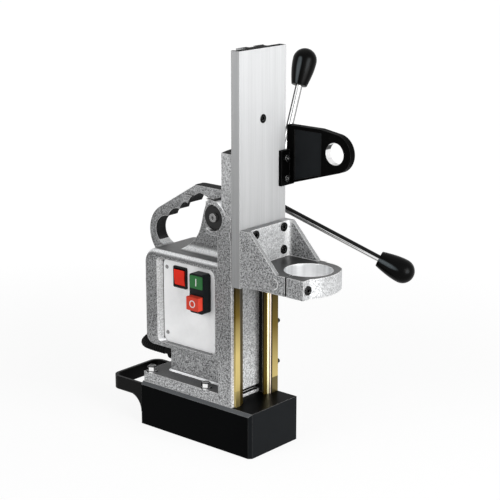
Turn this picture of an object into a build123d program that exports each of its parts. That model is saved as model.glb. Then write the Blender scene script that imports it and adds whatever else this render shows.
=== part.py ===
from build123d import *

import os
from math import acos, cos, hypot, pi, radians, sin, tan

# A magnetic drill stand. X runs across the stand, the collar for the drill looks to -Y,
# +Z is up, and the origin is the middle of the magnet's bottom face. Lengths are in
# millimetres and angles in degrees.

# Fits and clearances
running_fit = 0.05
way_gap = 0.3
button_gap = 0.3
spigot_fit = 0.1

# Magnet foot
foot_width = 84.0
foot_length = 168.0
foot_height = 52.0
foot_edge_bevel = 3.5
foot_corner_bevel = 3.5
pole_width = 34.0
pole_length = 112.0
pole_corner = 6.0
coil_slot = 13.0
coil_top = 38.0
potting_top = 11.0
potting_inset = 0.4

# Cast stand: the column, the foot flange and the neck
cast_width = 77.0
column_front = -53.5
column_top = 338.5
column_upper_width = 75.0
column_side_back = -39.2
column_spine_back = -32.0
column_lower_back = -33.7
column_lower_top = 270.0
flange_thickness = 12.5
flange_back = 82.0
neck_width = 33.0
neck_back = 61.4
neck_edge = 4.0
channel_half = 23.0
channel_floor = -40.5
toe_slot_low = 55.5
toe_slot_high = 61.5
toe_slot_back = -35.0
edge_slot_low = 244.0
edge_slot_high = 253.0
edge_slot_depth = 2.0
edge_slot_width = 1.4

# Cast stand: the control box
box_back = 81.0
box_low = 98.7
box_top = 214.5
box_top_corner = 18.0
box_low_corner = 12.0
box_edge_round = 8.0
box_foot_round = 6.0
recess_back = 58.9
recess_front = -29.6
recess_low = 106.7
recess_top = 205.8
recess_depth = 7.0
recess_corner = 9.0
recess_slope = 5.2
box_wall = 5.5
cavity_back = 45.0
cavity_front = -22.0
cavity_low = 114.0
cavity_top = 199.5
neck_foot_round = 4.0
board_boss_radius = 4.0
board_boss_inset = 7.0

# Cast stand: the handle and the web that joins it to the column
handle_width = 16.0
handle_edge_round = 2.5
web_width = 24.0
web_root_round = 12.0
web_top = 277.0
handle_top = 289.0
handle_knee = 28.0
handle_heel = 99.6
handle_heel_height = 229.6
handle_shoulder = 83.0
handle_shoulder_height = 255.8
grip_thickness = 15.0
finger_first = 16.6
finger_second = 36.0
finger_third = 57.3
finger_depth = 4.0
opening_front = 4.0
opening_front_height = 276.0
opening_waist = 12.0
opening_waist_height = 255.0
opening_foot = 18.2
opening_foot_height = 236.0
opening_ramp = 26.0
opening_ramp_height = 225.5
opening_floor = 40.0
opening_apex = 18.0
opening_apex_height = 281.0

# Feed shaft and its housing
shaft_back = -26.0
shaft_height = 265.0
shaft_radius = 7.0
bush_radius = 10.0
bush_length = 16.0
tube_radius = 14.5
tube_near_end = 31.2
tube_far_end = 40.0
shaft_clearance = 0.6
boss_radius = 19.5
boss_cut_back = -17.0
boss_recess_radius = 15.0
gear_space = 1.6
washer_radius = 14.0
washer_thickness = 3.0
washer_notch = 2.6
end_screw_head_radius = 4.75
end_screw_head = 3.0
end_screw_radius = 2.5
end_screw_length = 12.0
socket_share = 0.5
socket_depth_share = 0.6

# Rack and pinion
gear_module = 1.5
pinion_teeth = 22
gear_width = 12.0
tooth_angle = 20.0
tooth_slack = 0.3
flank_points = 4
rack_low = 232.0
rack_high = 434.0
rack_bed = 6.0

# Feed levers
lever_count = 3
lever_first = 92.6
lever_slant = 23.2
lever_apex = 63.0
lever_reach = 180.5
lever_radius = 4.0
lever_start = 6.0
knob_length = 43.5
knob_base_radius = 9.2
knob_belly_radius = 13.8
knob_belly_share = 0.71
knob_socket = 26.0
hub_radius = 12.0
hub_end = 73.5
hub_bevel = 3.0
hub_grip = 19.5

# Brass ways
way_front = -56.2
way_left_edge = 34.2
way_land_inner = 27.5
way_step = 24.7
way_step_back = -55.4
way_slope = 21.6
way_slope_back = -53.5
way_nose = 18.0
way_nose_back = -52.4
way_root = 22.9
way_back = -46.4
way_body_outer = 32.0
way_screw_radius = 2.5
way_screw_head_radius = 4.0
way_screw_head = 8.0
way_screw_low = 85.0
way_screw_pitch = 48.5
way_screw_count = 4
way_screw_line = -50.0
way_screw_bite = 2.0

# Slide
slide_front = -66.0
slide_back = -56.5
slide_low = 192.5
slide_top = 449.0
slide_edge = 0.6
dovetail_back = -46.8
rack_slot_front = -51.5
slide_screw_height = 373.6
slide_screw_low = 238.5

# Socket screws on the slide
cap_head_radius = 5.0
cap_head = 6.0
cap_radius = 3.0
cap_sink = 4.5
slide_cap_head = 5.2

# Collar bracket
collar_axis = -130.0
collar_bore = 26.25
collar_flank = 36.4
collar_nose = -162.2
collar_cheek = 27.0
collar_cheek_front = -154.2
collar_bend = 33.8
collar_bend_front = -143.5
collar_low = 196.0
collar_high = 217.5
collar_plate = 9.5
collar_top = 257.5
collar_wing = 5.0
collar_wing_flat = 13.3
collar_wing_foot = -116.5
collar_shoulder = -125.0
collar_slit = 2.0
jaw_front = -153.6
jaw_inner = -27.5
collar_screw_side = 23.7
collar_screw_high = 251.5
collar_screw_low = 226.0
collar_round = 4.5
clamp_side = -31.3
clamp_height = 206.2
clamp_reach = 40.0
dimple_back = -113.2
dimple_height = 207.0
dimple_radius = 5.6
dimple_depth = 1.6

# Upper bracket
arm_inner = 40.0
arm_thickness = 8.0
arm_low = 295.5
arm_high = 361.8
arm_flat_end = -112.0
arm_eye = -131.8
arm_eye_height = 337.4
arm_eye_radius = 21.2
arm_hole_radius = 11.8
arm_panel_front = -113.5
arm_panel_back = -76.5
arm_panel_low = 312.0
arm_panel_low_back = 301.5
arm_panel_high = 357.5
arm_panel_depth = 1.2
lip_left = 26.3
lip_thickness = 4.2
lip_high = 334.8
lip_screw_side = 33.0
lip_screw_inset = 8.5
lip_screw_head_radius = 3.6
lip_screw_head = 3.2
lip_screw_radius = 2.0
lip_screw_reach = 11.0

# Bolts through the foot flange
flange_bolt_side = 33.0
flange_bolt_back = 74.0
flange_bolt_front = -10.5
flange_bolt_across = 10.0
flange_bolt_head = 5.5
flange_bolt_skirt_radius = 6.5
flange_bolt_skirt = 1.6
flange_bolt_radius = 3.0
flange_bolt_bite = 11.0

# Panel plate and what sits on it
plate_thickness = 1.2
plate_gap = 0.3
plate_corner = 8.5
plate_screw_radius = 1.5
plate_screw_head_radius = 2.3
plate_screw_head = 0.9
plate_screw_length = 7.0
plate_screw_back = 48.0
plate_screw_front = -26.4
plate_screw_low = 118.0
plate_screw_high = 195.5
rocker_centre = 26.8
rocker_drop = 18.7
rocker_end_gap = 1.0
bezel_width = 20.4
bezel_height = 24.8
bezel_thickness = 1.8
bezel_corner = 1.6
magnet_body_width = 18.4
magnet_body_height = 22.4
magnet_body_depth = 24.0
rocker_width = 15.4
rocker_length = 18.2
rocker_rise = 3.0
rocker_depth = 7.0
rocker_pivot_depth = 1.4
rocker_well_depth = 13.0
rocker_pin_radius = 1.2
rocker_swing = 10.0
motor_front = -18.4
motor_back = 2.2
motor_low = 154.5
motor_high = 199.5
motor_rise = 12.3
motor_corner = 3.0
motor_wall = 1.0
motor_spigot = 1.8
motor_body_depth = 20.0
button_face_low = 183.0
button_face_high = 197.6
stop_low = 159.3
stop_high = 174.6
button_well = 9.0
start_rise = 0.8
stop_rise = 7.0
button_thickness = 5.5
button_stem_radius = 2.5
button_stem = 12.0
button_corner = 1.0

# Circuit board
board_thickness = 1.6
board_margin = 3.0
board_part_count = 4
board_part_height = 8.0
board_part_width = 11.0
board_part_gap = 6.0

# Carrying-strap bow behind the magnet
bow_half = 39.0
bow_back = 137.0
bow_corner = 12.0
bow_thickness = 3.5
bow_low = 32.0
bow_high = 48.0
bow_tab = 16.0
bow_tab_low = 13.0
bow_flare = 18.0
bow_screw_inset = 6.5
bow_screw_height = 30.0
bow_screw_head_radius = 4.5
bow_screw_head = 2.6
bow_screw_radius = 2.5
bow_screw_bite = 12.0

# Ribbed magnet lead
lead_radius = 4.75
lead_groove = 0.9
lead_bore = 2.6
lead_start_side = -8.5
lead_start_height = 83.5
lead_end_side = 27.0
lead_end_height = 117.0
lead_turn_back = 95.0
lead_reach = 25.0
lead_steps = 360
rib_pitch = 4.0
rib_land_share = 0.45
rib_slope_share = 0.16
gland_radius = 7.5
gland_length = 4.5
gland_spigot = 5.0
gland_spigot_radius = 5.5

# Mains gland and drill outlet on the back of the control box
mains_side = 12.0
mains_height = 140.0
mains_radius = 9.0
mains_length = 20.0
mains_bore = 4.2
outlet_side = -10.0
outlet_height = 172.0
outlet_radius = 19.0
outlet_rim = 5.0
outlet_well_radius = 15.5
outlet_well = 13.0
outlet_body = 16.0
outlet_pin_spread = 9.5
outlet_pin_radius = 2.4

cast_half = cast_width / 2
foot_top = foot_height
flange_top = foot_height + flange_thickness
recess_floor = -cast_half + recess_depth
plate_face = recess_floor - plate_thickness
pitch_radius = gear_module * pinion_teeth / 2
tip_radius = pitch_radius + gear_module
root_radius = pitch_radius - gear_module * (1 + 1 / 4)
pitch_line = shaft_back - pitch_radius
tooth_pitch = pi * gear_module
gear_half = gear_width / 2
rocker_height = recess_top - rocker_drop


def block(x_low, x_high, y_low, y_high, z_low, z_high):
    """A box between two limits on each axis."""
    size = (x_high - x_low, y_high - y_low, z_high - z_low)
    return Pos(x_low, y_low, z_low) * Box(*size, align=Align.MIN)


def rod_x(radius, x_low, x_high, y, z):
    """A round bar along X."""
    length = x_high - x_low
    return Pos(x_low + length / 2, y, z) * Rot(0, 90, 0) * Cylinder(radius, length)


def rod_y(radius, y_low, y_high, x, z):
    """A round bar along Y."""
    length = y_high - y_low
    return Pos(x, y_low + length / 2, z) * Rot(90, 0, 0) * Cylinder(radius, length)


def rod_z(radius, z_low, z_high, x, y):
    """A round bar along Z."""
    length = z_high - z_low
    return Pos(x, y, z_low + length / 2) * Cylinder(radius, length)


def side_slab(outline, x_low, x_high):
    """An outline drawn as (y, z) and carried from x_low to x_high."""
    plane = Plane(origin=(x_low, 0, 0), x_dir=(0, 1, 0), z_dir=(1, 0, 0))
    return extrude(plane * outline, x_high - x_low)


def rounded_slab(y_low, y_high, z_low, z_high, radius, x_low, x_high):
    """A plate across X with four rounded corners."""
    sheet = RectangleRounded(y_high - y_low, z_high - z_low, radius)
    return side_slab(Pos((y_low + y_high) / 2, (z_low + z_high) / 2) * sheet, x_low, x_high)


def polygon(points):
    """A flat face inside straight edges."""
    return make_face(Polyline(*points, close=True))


def edges_near(shape, axis, place):
    """The edges parallel to an axis whose middle lies where place(point) is true."""
    return shape.edges().filter_by(axis).filter_by(lambda edge: place(edge.center()))


# Magnet foot


def magnet_case():
    half_width = foot_width / 2
    half_length = foot_length / 2
    body = block(-half_width, half_width, -half_length, half_length, 0, foot_height)
    long_edges = body.faces().sort_by(Axis.Z)[-1].edges().filter_by(Axis.Y)
    body = chamfer(long_edges, foot_edge_bevel)
    uprights = edges_near(body, Axis.Z, lambda point: point.Y < 0)
    body = chamfer(uprights, foot_corner_bevel)
    body -= slot_ring(0, coil_top)
    for side in (-1, 1):
        for back in (flange_bolt_back, flange_bolt_front):
            body -= rod_z(
                flange_bolt_radius, foot_top - flange_bolt_bite, foot_top,
                side * flange_bolt_side, back,
            )
        body -= rod_y(
            bow_screw_radius, half_length - bow_screw_bite, half_length,
            side * (bow_half - bow_thickness - bow_screw_inset), bow_screw_height,
        )
    return body


def slot_ring(z_low, z_high):
    """The ring-shaped slot round the pole, between two heights."""
    outer = RectangleRounded(
        pole_width + 2 * coil_slot, pole_length + 2 * coil_slot, pole_corner + coil_slot
    )
    inner = RectangleRounded(pole_width, pole_length, pole_corner)
    return Pos(0, 0, z_low) * extrude(outer - inner, z_high - z_low)


def magnet_coil():
    return slot_ring(potting_top, coil_top)


def magnet_potting():
    return slot_ring(potting_inset, potting_top)


# Cast stand


def column_solid():
    upper_half = column_upper_width / 2
    outline = make_face(
        [
            Polyline(
                (-upper_half, column_side_back),
                (-upper_half, column_front),
                (upper_half, column_front),
                (upper_half, column_side_back),
            ),
            ThreePointArc(
                (upper_half, column_side_back),
                (0, column_spine_back),
                (-upper_half, column_side_back),
            ),
        ]
    )
    column = Pos(0, 0, foot_top) * extrude(outline, column_top - foot_top)
    lower = block(
        -cast_half, cast_half, column_front, column_lower_back, foot_top, column_lower_top
    )
    flange = block(-cast_half, cast_half, column_front, flange_back, foot_top, flange_top)
    return column + lower + flange


def neck_solid():
    half = neck_width / 2
    neck = block(-half, half, column_lower_back, neck_back, foot_top, box_low + box_low_corner)
    corners = edges_near(neck, Axis.Z, lambda point: point.Y > 0)
    return fillet(corners, neck_edge)


def control_box_solid():
    """The rounded box that holds the switches, from the column to its back wall."""
    sheet = block(-cast_half, cast_half, column_front, box_back, box_low, box_top)
    across = sheet.edges().filter_by(Axis.X)
    top_corner = across.group_by(Axis.Y)[-1].sort_by(Axis.Z)[-1]
    sheet = fillet(top_corner, box_top_corner)
    across = sheet.edges().filter_by(Axis.X)
    low_corner = across.filter_by(lambda edge: edge.center().Z < box_low + box_low_corner / 2)
    sheet = fillet(low_corner.sort_by(Axis.Y)[-1], box_low_corner)
    foot_low = box_low - box_foot_round
    foot_back = column_lower_back + box_foot_round
    sheet += block(
        -cast_half, cast_half, column_front, foot_back, foot_low - 2 * box_edge_round, box_low
    )
    sheet -= block(
        -cast_half, cast_half, column_lower_back, foot_back,
        foot_low - 2 * box_edge_round, foot_low,
    )
    sheet -= rod_x(box_foot_round, -cast_half, cast_half, foot_back, foot_low)
    rims = sheet.edges().filter_by(
        lambda edge: abs(abs(edge.center().X) - cast_half) < box_edge_round / 8
        and edge.center().Y > column_front + box_edge_round / 8
        and edge.center().Z > foot_low - box_edge_round * 3 / 2
    )
    return fillet(rims, box_edge_round)


def handle_outline():
    """The handle's outer edge, drawn as (y, z), down into the control box."""
    heel_low = box_top - box_top_corner
    return make_face(
        [
            Polyline(
                (column_spine_back - (column_spine_back - column_front) / 4, heel_low),
                (column_spine_back - (column_spine_back - column_front) / 4, handle_top),
                (handle_knee, handle_top),
                (handle_shoulder, handle_shoulder_height),
            ),
            ThreePointArc(
                (handle_shoulder, handle_shoulder_height),
                (handle_heel, handle_heel_height),
                (box_back, heel_low),
            ),
            Line(
                (box_back, heel_low),
                (column_spine_back - (column_spine_back - column_front) / 4, heel_low),
            ),
        ]
    )


def grip_points():
    """The cusps of the finger grooves along the underside of the grip."""
    slope = (handle_shoulder - handle_knee, handle_shoulder_height - handle_top)
    length = hypot(*slope)
    along = (slope[0] / length, slope[1] / length)
    inward = (along[1], -along[0])
    start = (
        handle_knee + inward[0] * grip_thickness,
        handle_top + inward[1] * grip_thickness,
    )
    cusps = [
        (start[0] + along[0] * run, start[1] + along[1] * run)
        for run in (0, finger_first, finger_second, finger_third)
    ]
    return cusps, inward


def opening_outline():
    """The hand opening, drawn as (y, z): finger grooves above, the box's top below."""
    cusps, inward = grip_points()
    apex = (opening_apex, opening_apex_height)
    edges = [Line((opening_front, opening_front_height), apex)]
    for first, last in zip(cusps, cusps[1:]):
        middle = (
            (first[0] + last[0]) / 2 - inward[0] * finger_depth,
            (first[1] + last[1]) / 2 - inward[1] * finger_depth,
        )
        edges.append(ThreePointArc(apex if first == cusps[0] else first, middle, last))
    heel = (handle_heel - grip_thickness * 3 / 4, handle_heel_height - grip_thickness / 4)
    foot = (box_back - box_top_corner / 3, box_top - box_top_corner / 5)
    edges.append(ThreePointArc(cusps[-1], heel, foot))
    edges.append(Line(foot, (opening_floor, box_top)))
    edges.append(
        Spline(
            (opening_floor, box_top), (opening_ramp, opening_ramp_height),
            (opening_foot, opening_foot_height), (opening_waist, opening_waist_height),
            (opening_front, opening_front_height),
        )
    )
    return make_face(edges)


def handle_solid():
    """The handle: its outer edges are rounded, and the hand opening is cut after that."""
    half = handle_width / 2
    slab = side_slab(handle_outline(), -half, half)
    rims = slab.edges().filter_by(
        lambda edge: abs(abs(edge.center().X) - half) < handle_edge_round / 8
        and edge.center().Y > handle_knee / 2
        and edge.center().Z > box_top
    )
    return fillet(rims, handle_edge_round) - side_slab(opening_outline(), -half, half)


def web_profile():
    """The web seen from behind, drawn as (x, z), with its flared root on the box's top."""
    half = web_width / 2
    root = half + web_root_round
    low = box_top - box_edge_round
    knee = box_top + web_root_round
    return make_face(
        [
            Polyline((-half, knee), (-half, web_top), (half, web_top), (half, knee)),
            RadiusArc((half, knee), (root, box_top), -web_root_round),
            Polyline((root, box_top), (root, low), (-root, low), (-root, box_top)),
            RadiusArc((-root, box_top), (-half, knee), -web_root_round),
        ]
    )


def web_solid():
    """The thicker web between the column, the feed shaft and the box's top."""
    half = web_width / 2 + web_root_round
    slab = side_slab(handle_outline() - opening_outline(), -half, half)
    plane = Plane(origin=(0, column_lower_back, 0), x_dir=(-1, 0, 0), z_dir=(0, 1, 0))
    return slab & extrude(plane * web_profile(), opening_floor - column_lower_back)


def shaft_housing():
    """The tube for the feed shaft with a raised boss at both ends."""
    housing = rod_x(tube_radius, -tube_near_end, tube_far_end, shaft_back, shaft_height)
    boss = rod_x(boss_radius, -cast_half, cast_half, shaft_back, shaft_height)
    boss -= block(
        -cast_half, cast_half, boss_cut_back, boss_cut_back + 2 * boss_radius,
        shaft_height - 2 * boss_radius, shaft_height + 2 * boss_radius,
    )
    return housing + boss


def channel_cut():
    """The slot the slide's dovetail runs in, with the seats for both brass ways."""
    seat = block(
        -way_body_outer, way_body_outer, column_front, way_back, foot_top, column_top
    )
    throat = block(-channel_half, channel_half, way_back, channel_floor, foot_top, column_top)
    toe = block(
        -channel_half, channel_half, channel_floor, toe_slot_back, toe_slot_low, toe_slot_high
    )
    edge_slot = block(
        -cast_half, -cast_half + edge_slot_depth, column_front, column_front + edge_slot_width,
        edge_slot_low, edge_slot_high,
    )
    return seat + throat + toe + edge_slot


def shaft_cuts():
    """Bores for the shaft and its bushes, the gear space and the washer's recess."""
    cuts = rod_x(
        shaft_radius + shaft_clearance, -tube_near_end, tube_far_end, shaft_back, shaft_height
    )
    cuts += rod_x(
        bush_radius, -tube_near_end, -tube_near_end + bush_length, shaft_back, shaft_height
    )
    cuts += rod_x(
        bush_radius, tube_far_end - bush_length, tube_far_end, shaft_back, shaft_height
    )
    cuts += rod_x(
        tip_radius + gear_space, -gear_half - gear_space, gear_half + gear_space,
        shaft_back, shaft_height,
    )
    cuts += rod_x(boss_recess_radius, -cast_half, -tube_near_end, shaft_back, shaft_height)
    return cuts


def panel_recess():
    """The recess in the control box for the panel plate, with a sloped back wall."""
    recess = rounded_slab(
        recess_front, recess_back - recess_slope, recess_low, recess_top, recess_corner,
        -cast_half, recess_floor,
    )
    slope = polygon(
        [
            (-cast_half, recess_back),
            (-cast_half, recess_back - 2 * recess_slope),
            (recess_floor, recess_back - 2 * recess_slope),
            (recess_floor, recess_back - recess_slope),
        ]
    )
    height = recess_top - recess_low
    wedge = Pos(0, 0, recess_low) * extrude(slope, height)
    corners = wedge.faces().sort_by(Axis.Y)[-1].edges().filter_by(
        lambda edge: abs(edge.center().Z - recess_low - height / 2) > height / 4
    )
    return recess + fillet(corners, recess_corner / 2)


def box_cavity():
    """The hollow behind the panel plate, less the four bosses for the circuit board."""
    cavity = block(
        recess_floor, cast_half - box_wall, cavity_front, cavity_back, cavity_low, cavity_top
    )
    for y, z in board_corners():
        cavity -= rod_x(board_boss_radius, board_face(), cast_half, y, z)
    return cavity


def board_face():
    """Where the circuit board's back lies."""
    return cast_half - box_wall - board_boss_inset


def board_corners():
    """Where the board's bosses stand, as (y, z)."""
    inset = board_margin + board_boss_radius
    return [
        (y, z)
        for y in (cavity_front + inset, cavity_back - inset)
        for z in (cavity_low + inset, cavity_top - inset)
    ]


def screw_holes():
    """Holes in the casting for its bolts, screws and glands."""
    holes = None
    for side in (-1, 1):
        for back in (flange_bolt_back, flange_bolt_front):
            hole = rod_z(flange_bolt_radius, foot_top, flange_top, side * flange_bolt_side, back)
            holes = hole if holes is None else holes + hole
    for height in way_screw_heights():
        holes += rod_x(way_screw_radius, way_body_outer, cast_half, way_screw_line, height)
    for y, z in plate_screw_places():
        reach = recess_floor + plate_screw_length - plate_thickness
        holes += rod_x(plate_screw_radius, recess_floor, reach, y, z)
    neck_inner = neck_back - gland_spigot
    holes += rod_y(
        gland_spigot_radius, neck_inner, neck_back, lead_start_side, lead_start_height
    )
    holes += rod_y(
        gland_spigot_radius, cavity_back, box_back, lead_end_side, lead_end_height
    )
    holes += rod_y(mains_bore * 2, cavity_back, box_back, mains_side, mains_height)
    holes += rod_y(outlet_body, cavity_back, box_back, outlet_side, outlet_height)
    return holes


def stand_casting():
    body = column_solid() + neck_solid()
    foot_edges = body.edges().filter_by(
        lambda edge: abs(edge.center().Z - flange_top) < neck_foot_round / 8
        and abs(edge.center().X) < neck_width / 2 + neck_foot_round / 8
        and column_lower_back + neck_foot_round < edge.center().Y < neck_back + neck_foot_round / 8
    )
    body = fillet(foot_edges, neck_foot_round)
    body += control_box_solid() + handle_solid() + web_solid() + shaft_housing()
    body -= channel_cut()
    body -= shaft_cuts()
    body -= panel_recess()
    body -= box_cavity()
    body -= screw_holes()
    return body


# Brass ways and their screws


def way_profile(outer):
    """A way in plan out to an edge: a land, a stepped slope, a nose and an undercut."""
    return polygon(
        [
            (outer, way_front),
            (way_land_inner, way_front),
            (way_step, way_step_back),
            (way_slope, way_slope_back),
            (way_nose, way_nose_back),
            (way_root, way_back),
            (way_body_outer, way_back),
            (way_body_outer, column_front),
            (outer, column_front),
        ]
    )


def brass_way(side):
    outer = cast_half if side > 0 else way_left_edge
    way = Pos(0, 0, foot_top) * extrude(way_profile(outer), column_top - foot_top)
    for height in way_screw_heights():
        way -= rod_x(
            way_screw_radius, way_body_outer - way_screw_bite, way_body_outer,
            way_screw_line, height,
        )
    return way if side > 0 else mirror(way, Plane.YZ)


def way_screw_heights():
    return [way_screw_low + way_screw_pitch * step for step in range(way_screw_count)]


def way_screw(height):
    """An adjusting screw with its lock nut, set through the casting's far side."""
    shank = rod_x(
        way_screw_radius, way_body_outer - way_screw_bite, cast_half, way_screw_line, height
    )
    nut = Rot(0, 90, 0) * extrude(
        RegularPolygon(way_screw_head_radius, 6), way_screw_head / 2
    )
    tail = rod_x(
        way_screw_radius, cast_half, cast_half + way_screw_head, way_screw_line, height
    )
    return shank + Pos(cast_half, way_screw_line, height) * nut + tail


# Bolts in the foot flange


def flange_bolt(side, back):
    x = side * flange_bolt_side
    skirt_top = flange_top + flange_bolt_skirt
    shank = rod_z(flange_bolt_radius, foot_top - flange_bolt_bite, flange_top, x, back)
    skirt = rod_z(flange_bolt_skirt_radius, flange_top, skirt_top, x, back)
    head = RegularPolygon(flange_bolt_across / 2, 6, major_radius=False)
    hexagon = Pos(x, back, skirt_top) * extrude(head, flange_bolt_head)
    return shank + skirt + hexagon


# Feed shaft, pinion, hub and levers


def feed_shaft():
    shaft = rod_x(
        shaft_radius, -tube_near_end - way_gap, hub_start() + hub_grip, shaft_back, shaft_height
    )
    hole_end = -tube_near_end - way_gap + end_screw_length
    shaft -= rod_x(
        end_screw_radius, -tube_near_end - way_gap, hole_end, shaft_back, shaft_height
    )
    return shaft


def hub_start():
    """The hub stands one way gap off the end of the shaft tube."""
    return tube_far_end + way_gap


def tooth_half_angle(radius):
    """Half the angle a pinion tooth covers at a radius, from an involute flank."""
    base = pitch_radius * cos(radians(tooth_angle))
    at_pitch = pi / (2 * pinion_teeth) - tooth_slack / (4 * pitch_radius)
    press = radians(tooth_angle)
    here = acos(min(1, base / radius))
    return at_pitch + (tan(press) - press) - (tan(here) - here)


def pinion_outline():
    """The pinion's teeth, drawn round its own middle with one tooth toward -Y."""
    points = []
    low = max(root_radius, pitch_radius * cos(radians(tooth_angle)))
    radii = [low + (tip_radius - low) * step / flank_points for step in range(flank_points + 1)]
    rising = [(radius, -tooth_half_angle(radius)) for radius in radii]
    falling = [(radius, tooth_half_angle(radius)) for radius in reversed(radii)]
    foot = tooth_half_angle(low)
    tooth_line = [(root_radius, -foot), *rising, *falling, (root_radius, foot)]
    for tooth in range(pinion_teeth):
        middle = pi + 2 * pi * tooth / pinion_teeth
        for radius, turn in tooth_line:
            points.append((radius * cos(middle + turn), radius * sin(middle + turn)))
    return polygon(points)


def pinion():
    """The gear on the shaft. A tooth looks toward the rack."""
    gear = side_slab(pinion_outline(), -gear_half, gear_half)
    gear = Pos(0, shaft_back, shaft_height) * gear
    return gear - rod_x(shaft_radius, -gear_half, gear_half, shaft_back, shaft_height)


def end_washer():
    outer = -tube_near_end - way_gap - washer_thickness
    disc = rod_x(washer_radius, outer, outer + washer_thickness, shaft_back, shaft_height)
    notch_low = shaft_height + washer_radius - washer_notch
    disc -= block(
        outer, outer + washer_thickness,
        shaft_back - washer_notch / 2, shaft_back + washer_notch / 2,
        notch_low, shaft_height + washer_radius,
    )
    return disc - rod_x(
        end_screw_radius, outer, outer + washer_thickness, shaft_back, shaft_height
    )


def end_screw():
    seat = -tube_near_end - way_gap - washer_thickness
    tip = -tube_near_end - way_gap + end_screw_length
    shank = rod_x(end_screw_radius, seat, tip, shaft_back, shaft_height)
    head = rod_x(
        end_screw_head_radius, seat - end_screw_head, seat, shaft_back, shaft_height
    )
    socket = Rot(0, 90, 0) * extrude(
        RegularPolygon(end_screw_head_radius * socket_share, 6),
        end_screw_head * socket_depth_share,
    )
    return shank + head - Pos(seat - end_screw_head, shaft_back, shaft_height) * socket


def lever_frame(index):
    """A plane whose +Z runs out along one lever from the point where all three meet."""
    turn = radians(lever_first - 360 * index / lever_count)
    slant = radians(lever_slant)
    direction = (sin(slant), -cos(slant) * cos(turn), cos(slant) * sin(turn))
    origin = (lever_apex, shaft_back, shaft_height)
    return Plane(origin=origin, x_dir=(0, sin(turn), cos(turn)), z_dir=direction)


def lever_rod(index):
    end = lever_reach - knob_length + knob_socket
    rod = Pos(0, 0, (lever_start + end) / 2) * Cylinder(lever_radius, end - lever_start)
    return lever_frame(index) * rod


def lever_knob(index):
    """A drop-shaped grip turned round the lever's axis."""
    belly = knob_length * knob_belly_share
    dome = knob_length - belly
    slim = knob_base_radius + (knob_belly_radius - knob_base_radius) * 3 / 5
    dome_radius = (knob_belly_radius ** 2 + dome ** 2) / (2 * dome)
    outline = make_face(
        [
            Polyline(
                (0, 0), (knob_base_radius, 0), (slim, belly / 2), (knob_belly_radius, belly)
            ),
            RadiusArc((knob_belly_radius, belly), (0, knob_length), -dome_radius),
            Line((0, knob_length), (0, 0)),
        ]
    )
    knob = revolve(Plane.XZ * outline, Axis.Z)
    knob -= Pos(0, 0, knob_socket / 2) * Cylinder(lever_radius, knob_socket)
    return lever_frame(index) * Pos(0, 0, lever_reach - knob_length) * knob


def feed_hub():
    hub = rod_x(hub_radius, hub_start(), hub_end, shaft_back, shaft_height)
    rim = hub.edges().filter_by(GeomType.CIRCLE).sort_by(Axis.X)[-1]
    hub = chamfer(rim, hub_bevel)
    hub -= rod_x(shaft_radius, hub_start(), hub_start() + hub_grip, shaft_back, shaft_height)
    for index in range(lever_count):
        hub -= lever_rod(index)
    return hub


def shaft_bush(low):
    """A plain bush that starts at low and carries one end of the shaft."""
    ring = rod_x(bush_radius, low, low + bush_length, shaft_back, shaft_height)
    bore = shaft_radius + running_fit
    return ring - rod_x(bore, low, low + bush_length, shaft_back, shaft_height)


# Slide, rack and their screws


def dovetail_profile():
    """The dovetail on the slide's back in plan, one way gap off the brass."""
    run = hypot(way_root - way_nose, way_back - way_nose_back)
    inward = (way_back - way_nose_back) / run * way_gap
    rearward = (way_root - way_nose) / run * way_gap
    waist = way_nose - inward
    waist_back = way_nose_back + rearward
    slope = (way_root - way_nose) / (way_back - way_nose_back)
    heel = waist + (dovetail_back - waist_back) * slope
    right = [(waist - way_gap / 2, slide_back), (waist, waist_back), (heel, dovetail_back)]
    left = [(-x, y) for x, y in reversed(right)]
    return polygon(right + left)


def slide_plate():
    plate = block(-cast_half, cast_half, slide_front, slide_back, slide_low, slide_top)
    plate += block(
        -cast_half, -way_left_edge - way_gap, slide_back, column_front - way_gap,
        slide_low, slide_top,
    )
    corners = edges_near(
        plate, Axis.Z, lambda point: abs(abs(point.X) - cast_half) < slide_edge / 2
    )
    plate = chamfer(corners, slide_edge)
    dovetail = Pos(0, 0, slide_low) * extrude(dovetail_profile(), slide_top - slide_low)
    plate += dovetail
    plate -= block(
        -gear_half, gear_half, rack_slot_front, dovetail_back, slide_low, slide_top
    )
    for height in (slide_screw_height, slide_screw_low):
        plate -= rod_y(cap_radius, slide_front, rack_slot_front, 0, height)
        plate -= rod_y(cap_head_radius, slide_front, slide_front + slide_cap_head, 0, height)
    for x, z in collar_screw_places():
        plate -= rod_y(cap_radius, slide_front, slide_back - slide_edge, x, z)
    for height in lip_screw_heights():
        plate -= rod_y(
            lip_screw_radius, slide_front, slide_front + lip_screw_reach - lip_thickness,
            lip_screw_side, height,
        )
    return plate


def feed_rack():
    """The rack in the slide's dovetail. A gap between teeth faces the pinion's axis."""
    tip = pitch_line + gear_module
    root = pitch_line - gear_module * (1 + 1 / 4)
    lean = tan(radians(tooth_angle))
    half_here = tooth_pitch / 4 - tooth_slack / 4
    low = shaft_height + tooth_pitch / 2
    first = -int((low - rack_low) / tooth_pitch)
    last = int((rack_high - low) / tooth_pitch)
    profile = [(rack_slot_front, rack_high), (rack_slot_front, rack_low), (root, rack_low)]
    for tooth in range(first, last + 1):
        middle = low + tooth * tooth_pitch
        foot_half = half_here + (pitch_line - root) * lean
        tip_half = half_here - (tip - pitch_line) * lean
        profile += [
            (root, middle - foot_half), (tip, middle - tip_half),
            (tip, middle + tip_half), (root, middle + foot_half),
        ]
    profile.append((root, rack_high))
    rack = side_slab(polygon(profile), -gear_half, gear_half)
    for height in (slide_screw_height, slide_screw_low):
        rack -= rod_y(cap_radius, rack_slot_front, rack_slot_front + rack_bed, 0, height)
    return rack


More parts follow.
